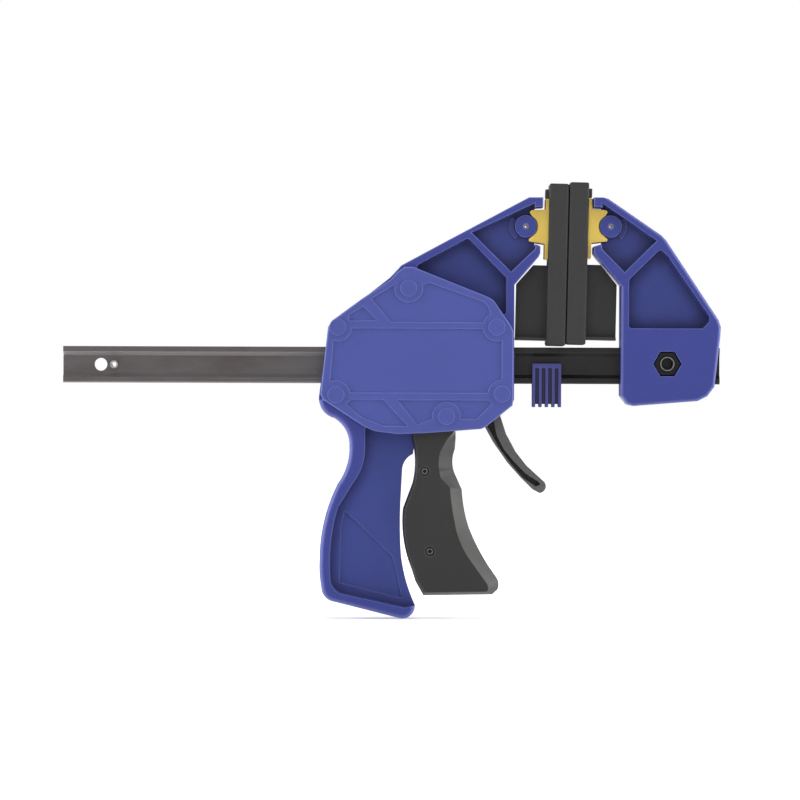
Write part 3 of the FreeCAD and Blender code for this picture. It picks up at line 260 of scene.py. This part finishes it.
def shaded(colour, share):
    """A share of a colour, no brighter than white."""
    return (*(min(1.0, share * part) for part in colour[:3]), 1.0)


def mix_value(tree, mask, low, high):
    """From low where the mask is 0 to high where it is 1."""
    node = add(tree, "ShaderNodeMapRange", {"To Min": low, "To Max": high})
    tree.links.new(mask, node.inputs["Value"])
    return node.outputs["Result"]


def crease_shade_mask(tree, reach):
    """Where shade is painted: 1 deep in a corner of the same piece, 0 on open faces."""
    closed = add(tree, "ShaderNodeAmbientOcclusion", {"Distance": reach}, samples=8,
                 only_local=True)
    ranged = add(tree, "ShaderNodeMapRange", {"From Min": 0.45, "From Max": 0.92, "To Min": 1.0,
                                              "To Max": 0.0})
    tree.links.new(closed.outputs["AO"], ranged.inputs["Value"])
    return ranged.outputs["Result"]


def new_material(name, roughness=None, metallic=0.0, specular=0.5):
    material = bpy.data.materials.new(name)
    material.use_nodes = True
    tree = material.node_tree
    shader = tree.nodes["Principled BSDF"]
    shader.inputs["Metallic"].default_value = metallic
    shader.inputs["Specular IOR Level"].default_value = specular
    if roughness is not None:
        shader.inputs["Roughness"].default_value = roughness
    return material, tree, shader


def add_bump(tree, shader, height, strength, distance):
    bump = add(tree, "ShaderNodeBump", {"Strength": strength, "Distance": distance})
    tree.links.new(height, bump.inputs["Height"])
    tree.links.new(bump.outputs["Normal"], shader.inputs["Normal"])


def moulded_plastic(name, face, low, edge, roughness, edge_radius=1.2 * MM, edge_gain=1.6,
                    grain=2600.0, recess=None, rim=0.0, crease_shade=None):
    """Moulded plastic: uneven tone, fine grain, painted highlights on edges and radii, light and shade
    painted in recesses by depth, painted shade in corners.
    """
    material, tree, shader = new_material(name, specular=0.38)
    tone = place_group(tree, tone_group, Scale=38.0, Gain=1.2)
    colour = mix_colour(tree, tone, shaded(face, 0.93), shaded(face, 1.07))
    # Light and shade painted by depth from the mid-plane: the low colour on the webs and recess
    # floors.
    if recess is not None:
        outer, inner = recess
        depth = place_group(tree, depth_group, Outer=outer, Inner=inner)
        colour = mix_colour(tree, depth, colour, low)
    # Painted shade in the piece's own corners and creases.
    if crease_shade is not None:
        reach, corner, amount = crease_shade
        closed = math_node(tree, "MULTIPLY", crease_shade_mask(tree, reach), amount)
        colour = mix_colour(tree, closed, colour, corner)
    # Painted highlight on radii and chamfers that lean between side face and wall.
    if rim > 0:
        colour = mix_colour(tree, place_group(tree, rim_highlight_group, Gain=rim), colour, edge)
    # Painted highlight on the edges.
    edges = place_group(tree, edge_highlight_group, Radius=edge_radius, Gain=edge_gain)
    colour = mix_colour(tree, edges, colour, edge)
    tree.links.new(colour, shader.inputs["Base Color"])
    rough = mix_value(tree, place_group(tree, tone_group, Scale=160.0, Gain=1.5),
                      roughness - 0.05, roughness + 0.05)
    tree.links.new(rough, shader.inputs["Roughness"])
    add_bump(tree, shader, place_group(tree, grain_group, Scale=grain), 0.25, 0.05 * MM)
    return material


def band_mask(tree, height, low, high, soft):
    """1 where the height lies between low and high, falling to 0 over soft on either side."""
    rise = add(tree, "ShaderNodeMapRange", {"From Min": low - soft, "From Max": low})
    fall = add(tree, "ShaderNodeMapRange", {"From Min": high, "From Max": high + soft,
                                            "To Min": 1.0, "To Max": 0.0})
    for node in (rise, fall):
        tree.links.new(height, node.inputs["Value"])
    return math_node(tree, "MULTIPLY", rise.outputs["Result"], fall.outputs["Result"])


# Heights of the highlight lines painted along the bar's flanges, in millimetres, with the share and
# sRGB grey of each
HIGHLIGHT_LINES = (
    (5.8, 7.7, 1.0, (178, 174, 173)),
    (-7.7, -5.8, 0.5, (142, 138, 138)),
    (-11.2, -10.4, 0.6, (160, 156, 154)),
)
# Where along the bar the painted shade and dark reflection between the jaws fades in, in metres
JAW_SHADE_FROM, JAW_SHADE_TO = 200.0 * MM, 240.0 * MM


def rolled_steel(name):
    """Dark bar steel: rolling streaks, painted highlight lines along the flanges, painted shade and
    dark reflection between the jaws.
    """
    material, tree, shader = new_material(name, metallic=0.6)
    coords = add(tree, "ShaderNodeTexCoord").outputs["Object"]
    split = add(tree, "ShaderNodeSeparateXYZ")
    tree.links.new(coords, split.inputs[0])
    along, height = split.outputs["X"], split.outputs["Z"]
    streak = noise(tree, 900.0, detail=4.0, roughness=0.65, stretch=(0.04, 1.0, 1.0))
    patch = noise(tree, 55.0, detail=4.0, roughness=0.6, stretch=(0.35, 1.0, 1.0))
    base = mix_colour(tree, streak, linear(84, 81, 82), linear(104, 100, 101))
    stain = add(tree, "ShaderNodeMapRange", {"From Min": 0.45, "From Max": 0.7})
    tree.links.new(patch, stain.inputs["Value"])
    base = mix_colour(tree, stain.outputs["Result"], base, linear(84, 78, 77))
    # Painted highlight lines along the flange tapers and the lower edge.
    for low, high, share, grey in HIGHLIGHT_LINES:
        band = band_mask(tree, height, low * MM, high * MM, 0.3 * MM)
        base = mix_colour(tree, math_node(tree, "MULTIPLY", band, share), base, linear(*grey))
    # Painted shade and dark reflection on the bar between the jaws.
    jaw_shade = add(tree, "ShaderNodeMapRange", {"From Min": JAW_SHADE_FROM, "From Max": JAW_SHADE_TO})
    tree.links.new(along, jaw_shade.inputs["Value"])
    base = mix_colour(tree, math_node(tree, "MULTIPLY", jaw_shade.outputs["Result"], 0.86), base,
                      linear(18, 19, 19))
    # Painted highlight on the bar's edges.
    edges = place_group(tree, edge_highlight_group, Radius=0.5 * MM, Gain=1.5)
    base = mix_colour(tree, math_node(tree, "MULTIPLY", edges, 0.5), base, linear(140, 136, 133))
    tree.links.new(base, shader.inputs["Base Color"])
    tree.links.new(mix_value(tree, streak, 0.36, 0.52), shader.inputs["Roughness"])
    add_bump(tree, shader, streak, 0.3, 0.06 * MM)
    return material


def machined_metal(name, colour, bright, roughness, metallic=0.9):
    """Small steel pieces with fine random scratches and painted highlights on their edges."""
    material, tree, shader = new_material(name, metallic=metallic)
    scratch = noise(tree, 1500.0, detail=3.0, roughness=0.7, stretch=(1.0, 1.0, 0.25))
    base = mix_colour(tree, scratch, shaded(colour, 0.85), colour)
    # Painted highlight on the edges.
    edges = place_group(tree, edge_highlight_group, Radius=0.3 * MM, Gain=1.6)
    base = mix_colour(tree, edges, base, bright)
    tree.links.new(base, shader.inputs["Base Color"])
    tree.links.new(mix_value(tree, scratch, roughness - 0.08, roughness + 0.08),
                   shader.inputs["Roughness"])
    add_bump(tree, shader, scratch, 0.2, 0.02 * MM)
    return material


def centre_of(node):
    """The middle of a node's box."""
    low, high = (Vector(nodes[node].bound_box[corner]) for corner in (0, 6))
    return (low + high) / 2


def ringed_steel(name, node, radius, width, dark, bright):
    """A blackened fastener with a pale ring painted about its axis as a highlight."""
    material, tree, shader = new_material(name, metallic=0.6)
    # The pale ring is a painted highlight about the fastener's axis; its edges get a painted highlight
    # too.
    ring = place_group(tree, highlight_ring_group, Centre=centre_of(node), Radius=radius, Width=width)
    colour = mix_colour(tree, ring, dark, bright)
    edges = place_group(tree, edge_highlight_group, Radius=0.3 * MM, Gain=1.2)
    tree.links.new(mix_colour(tree, edges, colour, linear(70, 70, 74)), shader.inputs["Base Color"])
    scratch = noise(tree, 1500.0, detail=3.0, roughness=0.7)
    tree.links.new(mix_value(tree, scratch, 0.3, 0.44), shader.inputs["Roughness"])
    return material


# In the plastics below, the edge colour is a painted highlight on edges and, where rim is set, on
# leaning radii; the crease colour is painted shade in corners; the recess colour is painted by depth:
# paler webs on the jaws, shade in the lever's channel and the clip's slots.
blue_nylon = moulded_plastic("blue_nylon", linear(55, 64, 144), linear(68, 81, 162),
                             linear(124, 132, 206), 0.46, edge_radius=1.2 * MM, edge_gain=2.0,
                             recess=(17.5 * MM, 5.0 * MM), rim=0.62,
                             crease_shade=(11.0 * MM, linear(34, 40, 92), 0.75))
cover_nylon = moulded_plastic("cover_nylon", linear(74, 85, 163), linear(66, 70, 138),
                              linear(138, 144, 212), 0.40, edge_radius=0.9 * MM, edge_gain=2.6,
                              rim=0.5)
trigger_nylon = moulded_plastic("trigger_nylon", linear(42, 42, 41), linear(38, 38, 37),
                                linear(112, 112, 110), 0.46, edge_radius=1.2 * MM, edge_gain=2.6,
                                rim=0.45)
lever_nylon = moulded_plastic("lever_nylon", linear(92, 92, 91), linear(50, 50, 49),
                              linear(104, 104, 102), 0.48, edge_radius=0.9 * MM, edge_gain=2.4,
                              recess=(7.5 * MM, 2.5 * MM))
swivel_nylon = moulded_plastic("swivel_nylon", linear(255, 216, 102), linear(240, 184, 70),
                               linear(252, 218, 134), 0.38)
fin_nylon = moulded_plastic("fin_nylon", linear(56, 56, 55), linear(50, 50, 48),
                            linear(120, 120, 118), 0.5, edge_gain=2.0)
pad_rubber = moulded_plastic("pad_rubber", linear(50, 50, 50), linear(46, 46, 46),
                             linear(112, 112, 112), 0.62, edge_radius=1.6 * MM, edge_gain=2.4,
                             grain=1900.0)
clip_nylon = moulded_plastic("clip_nylon", linear(72, 74, 142), linear(24, 27, 66),
                             linear(120, 124, 190), 0.42, edge_radius=0.5 * MM,
                             recess=(6.9 * MM, 6.3 * MM))
bar_steel = rolled_steel("bar_steel")
# The bright colours of the metals are painted highlights on their edges; the nut and the trigger
# screws get a painted highlight ring about their axes too.
black_steel = machined_metal("black_steel", linear(30, 30, 30), linear(96, 96, 96), 0.34, 0.6)
nut_steel = ringed_steel("nut_steel", "jaw_nut", 3.8 * MM, 1.6 * MM, linear(24, 24, 26),
                         linear(138, 138, 140))
screw_steels = [ringed_steel(f"screw_steel_{number}", f"trigger_screw_{number}", 1.5 * MM, 1.5 * MM,
                             linear(10, 10, 11), linear(116, 116, 118)) for number in (1, 2)]
pin_steel = machined_metal("pin_steel", linear(120, 118, 122), linear(214, 212, 214), 0.3)
zinc_steel = machined_metal("zinc_steel", linear(168, 168, 166), linear(214, 214, 212), 0.3)
spring_steel = machined_metal("spring_steel", linear(130, 130, 128), linear(190, 190, 188), 0.34)

FINISHES = {
    "bar_steel": bar_steel, "blue_nylon": blue_nylon, "dark_nylon": trigger_nylon,
    "yellow_nylon": swivel_nylon, "stiff_grey": fin_nylon, "pad_rubber": pad_rubber,
    "black_steel": black_steel, "zinc_steel": zinc_steel, "spring_steel": spring_steel,
}
OWN_FINISHES = {
    "front_cover": cover_nylon, "rear_cover": cover_nylon, "release_lever": lever_nylon,
    "bar_clip": clip_nylon, "fixed_pad_pin": pin_steel, "moving_pad_pin": pin_steel,
    "tail_stop_pin": zinc_steel, "jaw_nut": nut_steel,
    "trigger_screw_1": screw_steels[0], "trigger_screw_2": screw_steels[1],
}


# Finish on the carried-over nodes

def soften_edges(obj, width, angle=35.0):
    """Weld the loose triangles, join the flat ones and round the sharp edges slightly."""
    weld = obj.modifiers.new("weld", "WELD")
    weld.merge_threshold = MERGE_DISTANCE
    flat = obj.modifiers.new("flat", "DECIMATE")
    flat.decimate_type = "DISSOLVE"
    flat.angle_limit = FLAT_ANGLE
    bevel = obj.modifiers.new("bevel", "BEVEL")
    bevel.width = width
    bevel.segments = 2
    bevel.limit_method = "ANGLE"
    bevel.angle_limit = math.radians(angle)
    bevel.use_clamp_overlap = True
    bevel.miter_outer = "MITER_ARC"
    bevel.harden_normals = True


SLOT_OF = {entry["node"]: entry["material_slot"] for entry in frame["record"]["subparts"]}
# How wide each node's sharp edges are rounded, in millimetres
BEVELS = {
    "bar": 0.35, "front_cover": 0.25, "rear_cover": 0.25, "fixed_jaw": 0.5,
    "trigger_front": 0.7, "trigger_rear": 0.7, "release_lever": 0.6, "bar_clip": 0.3,
    "moving_pad_swivel": 0.3, "fixed_pad_swivel": 0.3, "moving_pad_base": 0.3,
    "fixed_pad_base": 0.3, "jaw_nut": 0.25, "jaw_bolt": 0.3, "trigger_screw_1": 0.2,
    "trigger_screw_2": 0.2,
}
for name, obj in nodes.items():
    finish = OWN_FINISHES.get(name) or FINISHES[SLOT_OF[name]]
    obj.data.materials.clear()
    obj.data.materials.append(finish)
    if name in BEVELS:
        soften_edges(obj, BEVELS[name] * MM)


# Pieces made here

def new_piece(name, mesh, body, slot, finish, *stands_for):
    """A piece that rides on a body and stands for nodes of the frame."""
    piece = bpy.data.objects.new(name, mesh)
    mesh.materials.clear()
    mesh.materials.append(finish)
    bpy.context.scene.collection.objects.link(piece)
    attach(piece, body)
    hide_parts(*stands_for)
    return piece


def merged(mesh):
    """A mesh's points and faces to work on, with the points that coincide joined."""
    work = bmesh.new()
    work.from_mesh(mesh)
    bmesh.ops.remove_doubles(work, verts=work.verts, dist=MERGE_DISTANCE)
    return work


def smooth_mesh(work, mesh):
    """Write what was worked on into a mesh, shaded smooth."""
    work.to_mesh(mesh)
    work.free()
    mesh.polygons.foreach_set("use_smooth", [True] * len(mesh.polygons))
    return mesh


def rounded_copy(node, name, near, picked, radius):
    """A copy of a node's mesh with the picked sharp edges rounded by the radius."""
    work = merged(nodes[node].data)
    beside = [vert for vert in work.verts if near(vert.co)]
    between = [edge for edge in work.edges if all(near(vert.co) for vert in edge.verts)]
    bmesh.ops.dissolve_limit(work, angle_limit=FLAT_ANGLE, verts=beside, edges=between)
    edges = [edge for edge in work.edges if len(edge.link_faces) == 2
             and edge.calc_face_angle() > math.radians(35) and picked(edge)]
    bmesh.ops.bevel(work, geom=edges, offset=radius, offset_type="OFFSET", segments=5,
                    profile=0.5, affect="EDGES", clamp_overlap=False, harden_normals=False,
                    miter_outer="ARC")
    return smooth_mesh(work, bpy.data.meshes.new(name))


def smooth_by_angle(piece, degrees):
    """Keep edges sharper than the angle crisp in the shading."""
    work = bmesh.new()
    work.from_mesh(piece.data)
    for edge in work.edges:
        sharp = len(edge.link_faces) != 2 or edge.calc_face_angle() > math.radians(degrees)
        edge.smooth = not sharp
    work.to_mesh(piece.data)
    work.free()


def side_wall(edge):
    """Of the faces at a rim's edge, the one that stands square to the side face."""
    return min(edge.link_faces, key=lambda face: abs(face.normal.y))


def middle_of(edge):
    return (edge.verts[0].co + edge.verts[1].co) / 2


MOULDED_CREASE = 32.0
ROUND_CREASE = 40.0
# How far both jaws' flat side faces lie from the mid-plane
JAW_FACE = 19.0 * MM

# The grip: its top under the housing, the points inside it that tell outer walls from the
# recess's walls, and the radius of its rim
GRIP_TOP = -21.2 * MM
GRIP_INSIDE_X = 172.0 * MM
GRIP_INSIDE_TOP = -22.0 * MM
GRIP_INSIDE_FOOT = -125.0 * MM
GRIP_BEND = -50.0 * MM
GRIP_RIM = 3.6 * MM


def on_grip_side(place):
    """On one of the grip's flat side faces, below the housing."""
    return abs(abs(place.y) - JAW_FACE) < FACE_TOLERANCE and place.z < GRIP_TOP


def on_grip_outside(edge):
    """The grip's outer rim: on the side faces, below the housing, with its wall facing out."""
    if not all(on_grip_side(vert.co) for vert in edge.verts):
        return False
    middle = middle_of(edge)
    level = GRIP_INSIDE_TOP if middle.z > GRIP_BEND else max(GRIP_INSIDE_FOOT, middle.z)
    inside = Vector((GRIP_INSIDE_X, middle.y, level))
    return side_wall(edge).normal.dot(inside - middle) < 0


def build_jaw_frame():
    """The moving jaw with the grip's outer rim rounded."""
    mesh = rounded_copy("jaw_frame", "moving_jaw_moulding", on_grip_side, on_grip_outside,
                        GRIP_RIM)
    piece = new_piece("moving_jaw_moulding", mesh, "jaw", "blue_nylon", blue_nylon, "jaw_frame")
    smooth_by_angle(piece, MOULDED_CREASE)
    soften_edges(piece, 0.5 * MM)


# The foot: its top, a point at its nut, how far its rim lies from that, and the rim's radius
FOOT_TOP = 20.0 * MM
FOOT_INSIDE_X = 345.0 * MM
FOOT_INSIDE_REACH = 16.0 * MM
FOOT_RIM = 2.6 * MM


def on_foot_side(place):
    """On one of the fixed jaw's flat side faces, round its foot."""
    return abs(abs(place.y) - JAW_FACE) < FACE_TOLERANCE and place.z < FOOT_TOP


def on_foot_outside(edge):
    """The foot's rim at the jaw's mouth and below, with its wall facing out."""
    if not all(on_foot_side(vert.co) for vert in edge.verts):
        return False
    middle = middle_of(edge)
    outward = middle - Vector((FOOT_INSIDE_X, middle.y, 0.0))
    return outward.length > FOOT_INSIDE_REACH and side_wall(edge).normal.dot(outward) > 0


def build_fixed_jaw():
    """The fixed jaw with its foot's rim rounded."""
    mesh = rounded_copy("fixed_jaw", "fixed_jaw_moulding", on_foot_side, on_foot_outside,
                        FOOT_RIM)
    piece = new_piece("fixed_jaw_moulding", mesh, "bar", "blue_nylon", blue_nylon, "fixed_jaw")
    smooth_by_angle(piece, MOULDED_CREASE)
    soften_edges(piece, 0.5 * MM)


TRIGGER_RIM = 2.4 * MM
SCREW_CLEARANCE = 5.0 * MM


def build_trigger_half(node, side):
    """One half of the trigger with the rim of its side face rounded at the back and below."""
    outer = max(side * vert.co.y for vert in nodes[node].data.vertices)
    screws = [centre_of(f"trigger_screw_{number}") for number in (1, 2)]

    def on_side(place):
        return side * place.y > outer - FACE_TOLERANCE

    def on_back_or_foot(edge):
        if not all(on_side(vert.co) for vert in edge.verts):
            return False
        middle = middle_of(edge)
        if any((middle - screw).xz.length < SCREW_CLEARANCE for screw in screws):
            return False
        facing = side_wall(edge).normal
        down_or_back = facing.z < -0.6 or facing.x < -0.3
        return abs(facing.y) < 0.1 and down_or_back

    name = node + "_moulding"
    mesh = rounded_copy(node, name, on_side, on_back_or_foot, TRIGGER_RIM)
    piece = new_piece(name, mesh, "trigger", SLOT_OF[node], trigger_nylon, node)
    smooth_by_angle(piece, MOULDED_CREASE)
    soften_edges(piece, 0.6 * MM)


def build_drive_spring():
    """The return spring, held by the housing at one end, as one smooth mesh; nothing here shortens it
    with the drive plates.
    """
    mesh = smooth_mesh(merged(nodes["drive_spring"].data), bpy.data.meshes.new("return_spring"))
    mesh.materials.append(spring_steel)
    piece = bpy.data.objects.new("return_spring", mesh)
    bpy.context.scene.collection.objects.link(piece)
    smooth_by_angle(piece, ROUND_CREASE)
    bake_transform(piece)
    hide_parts("drive_spring")


# A cushion about its pad's pivot, in millimetres: the distance to its back, its half width, its
# ends, its corners' radius with the share of the inset that they lose and the least that is left
CUSHION_BACK = 13.8
CUSHION_HALF_WIDTH = 18.0
CUSHION_LOW, CUSHION_HIGH = -72.2, 26.4
CUSHION_CORNER, CORNER_LOSS, CORNER_LEAST = 2.6, 0.8, 0.5
CORNER_STEPS = 7
# Its section from the bed's wall round to its face, as (inset, depth) in millimetres
CUSHION_SECTION = (
    (1.78, 3.02), (1.78, 1.2), (1.74, 0.5), (1.55, 0.14), (1.2, 0.0), (0.75, 0.08), (0.35, 0.32),
    (0.08, 0.72), (0.0, 1.3), (0.0, 3.5), (0.0, 8.3), (0.0, 10.2), (0.1, 10.85), (0.4, 11.4),
    (0.9, 11.72), (1.6, 11.8),
)
PAD_LEAN = math.radians(1.2)
MOVING_PIVOT = (258.6 * MM, 84.6 * MM)
FIXED_PIVOT = (310.2 * MM, 84.6 * MM)


def rounded_rectangle(half_width, low, high, radius, steps):
    """A loop in y and z: at each corner, centre plus radius times (cosine, sine) of a quarter turn."""
    turns = np.linspace(0, math.pi / 2, steps)
    centres = ((1, 1), (-1, 1), (-1, -1), (1, -1))
    middle, half = (low + high) / 2, (high - low) / 2
    loop = []
    for quarter, (side_y, side_z) in enumerate(centres):
        angle = turns + quarter * math.pi / 2
        loop.append(np.stack([side_y * (half_width - radius) + radius * np.cos(angle),
                              middle + side_z * (half - radius) + radius * np.sin(angle)], axis=1))
    return np.concatenate(loop)


def cushion_rings(side):
    """Rings of (x, y, z) in millimetres: each section point as a rectangle shrunk by its inset."""
    rings = []
    for inset, depth in CUSHION_SECTION:
        radius = max(CORNER_LEAST, CUSHION_CORNER - inset * CORNER_LOSS)
        loop = rounded_rectangle(CUSHION_HALF_WIDTH - inset, CUSHION_LOW + inset,
                                 CUSHION_HIGH - inset, radius, CORNER_STEPS)
        across = np.full(len(loop), side * (CUSHION_BACK + depth))
        rings.append(np.stack([across, loop[:, 0], loop[:, 1]], axis=1))
    return np.stack(rings)


def leant(points):
    """Points turned about the y axis by the pads' lean: x' = x cos + z sin, z' = z cos - x sin."""
    x, y, z = np.moveaxis(points, -1, 0)
    return np.stack([x * math.cos(PAD_LEAN) + z * math.sin(PAD_LEAN), y,
                     z * math.cos(PAD_LEAN) - x * math.sin(PAD_LEAN)], axis=-1)


def build_cushion(name, body, stands_for, pivot, side):
    """A pad's soft face: its section carried round a rounded rectangle and leant on the pivot."""
    points = leant(cushion_rings(side)) * MM + np.array([pivot[0], 0.0, pivot[1]])
    count, around = points.shape[:2]
    grid = np.arange(count * around).reshape(count, around)
    after = np.roll(grid, -1, axis=1)
    quads = np.stack([grid[:-1], after[:-1], after[1:], grid[1:]], axis=-1).reshape(-1, 4)
    faces = quads.tolist() + [grid[0].tolist()[::-1], grid[-1].tolist()]
    mesh = bpy.data.meshes.new(name)
    mesh.from_pydata(points.reshape(-1, 3).tolist(), [], faces)
    work = merged(mesh)
    bmesh.ops.recalc_face_normals(work, faces=work.faces)
    piece = new_piece(name, smooth_mesh(work, mesh), body, "pad_rubber", pad_rubber, stands_for)
    smooth_by_angle(piece, ROUND_CREASE)


build_jaw_frame()
build_fixed_jaw()
build_trigger_half("trigger_front", -1)
build_trigger_half("trigger_rear", 1)
build_drive_spring()
build_cushion("moving_cushion", "moving_pad", "moving_pad_cushion", MOVING_PIVOT, 1)
build_cushion("fixed_cushion", "fixed_pad", "fixed_pad_cushion", FIXED_PIVOT, -1)


# Floor, lights and camera

WHITE = (1.0, 1.0, 1.0, 1.0)
FLOOR_WHITE = (0.92, 0.92, 0.92, 1.0)
FLOOR_HALF = 12.0
FLOOR_GAP = 0.5 * MM
# Under the clamp's middle the floor glows least, so that its shadow shows, and further off more
SHADOW_X = 0.18
SHADOW_NEAR, SHADOW_FAR = 0.25, 0.9
GLOW_NEAR, GLOW_FAR = 0.45, 1.0
AMBIENT = 0.17


def ray_mask(tree, *kinds):
    """1 for a ray of any of the kinds."""
    path = add(tree, "ShaderNodeLightPath")
    mask = path.outputs[kinds[0]]
    for kind in kinds[1:]:
        mask = math_node(tree, "MAXIMUM", mask, path.outputs[kind])
    return mask


def white_stage_material():
    """A white floor that keeps the shadow near the clamp and shows white itself further off."""
    material, tree, shader = new_material("white_stage", roughness=0.9, specular=0.1)
    shader.inputs["Base Color"].default_value = FLOOR_WHITE
    seen = ray_mask(tree, "Is Camera Ray", "Is Glossy Ray", "Is Transmission Ray")
    away = add(tree, "ShaderNodeVectorMath", operation="DISTANCE")
    tree.links.new(add(tree, "ShaderNodeTexCoord").outputs["Object"], away.inputs[0])
    away.inputs[1].default_value = (SHADOW_X, 0.0, cad_box[0][2])
    glow = add(tree, "ShaderNodeMapRange",
               {"From Min": SHADOW_NEAR, "From Max": SHADOW_FAR, "To Min": GLOW_NEAR,
                "To Max": GLOW_FAR}, interpolation_type="SMOOTHSTEP")
    tree.links.new(away.outputs["Value"], glow.inputs["Value"])
    shader.inputs["Emission Color"].default_value = WHITE
    tree.links.new(math_node(tree, "MULTIPLY", seen, glow.outputs["Result"]),
                   shader.inputs["Emission Strength"])
    return material


def build_floor():
    level = cad_box[0][2] - FLOOR_GAP
    corners = [(-FLOOR_HALF, -FLOOR_HALF, level), (FLOOR_HALF, -FLOOR_HALF, level),
               (FLOOR_HALF, FLOOR_HALF, level), (-FLOOR_HALF, FLOOR_HALF, level)]
    mesh = bpy.data.meshes.new("floor")
    mesh.from_pydata(corners, [], [(0, 1, 2, 3)])
    mesh.materials.append(white_stage_material())
    floor = bpy.data.objects.new("floor", mesh)
    bpy.context.scene.collection.objects.link(floor)


def build_world():
    """A dim white surround that shows as white itself."""
    world = bpy.data.worlds.new("studio")
    world.use_nodes = True
    tree = world.node_tree
    back = tree.nodes["Background"]
    back.inputs["Color"].default_value = WHITE
    seen = ray_mask(tree, "Is Camera Ray", "Is Transmission Ray")
    tree.links.new(mix_value(tree, seen, AMBIENT, 1.0), back.inputs["Strength"])
    bpy.context.scene.world = world


LIGHT_TARGET = Vector((0.2, 0.0, 0.0))
# Each softbox's name, place, width, height and power, in metres and watts
SOFTBOXES = (
    ("left", (-2.0, -0.35, 0.7), 1.4, 1.8, 42.0),
    ("right", (2.3, -0.35, 0.5), 1.4, 1.8, 42.0),
    ("front", (0.2, -2.4, 1.0), 1.6, 1.2, 10.0),
    ("top", (0.2, -1.1, 2.2), 2.0, 1.4, 12.0),
    ("back", (0.2, 1.8, 1.6), 1.8, 1.2, 16.0),
)


def add_softbox(name, place, width, height, power):
    data = bpy.data.lights.new(name, "AREA")
    data.shape = "RECTANGLE"
    data.size, data.size_y = width, height
    data.energy = power
    lamp = bpy.data.objects.new(name, data)
    lamp.location = place
    lamp.rotation_euler = (LIGHT_TARGET - Vector(place)).to_track_quat("-Z", "Y").to_euler()
    bpy.context.scene.collection.objects.link(lamp)


# The camera's distance, the width that it sees there, and the point that it looks at, in metres
CAMERA_DISTANCE = 3.5
VIEW_WIDTH = 0.488
VIEW_X, VIEW_Z = 0.1824, -0.0212
SENSOR_WIDTH = 36.0
BAR_SLOPE = 0.0032


def build_camera():
    """The photograph's long lens, straight on, rolled by the bar's small slope in radians."""
    data = bpy.data.cameras.new("camera")
    data.sensor_width = SENSOR_WIDTH
    data.lens = SENSOR_WIDTH * CAMERA_DISTANCE / VIEW_WIDTH
    data.clip_end = 60.0
    camera = bpy.data.objects.new("camera", data)
    camera.matrix_world = (Matrix.Translation((VIEW_X, -CAMERA_DISTANCE, VIEW_Z))
                           @ Matrix.Rotation(math.pi / 2, 4, "X")
                           @ Matrix.Rotation(BAR_SLOPE, 4, "Z"))
    bpy.context.scene.collection.objects.link(camera)
    bpy.context.scene.camera = camera


build_floor()
build_world()
for softbox in SOFTBOXES:
    add_softbox(*softbox)
build_camera()
bpy.context.scene.view_settings.view_transform = "Standard"
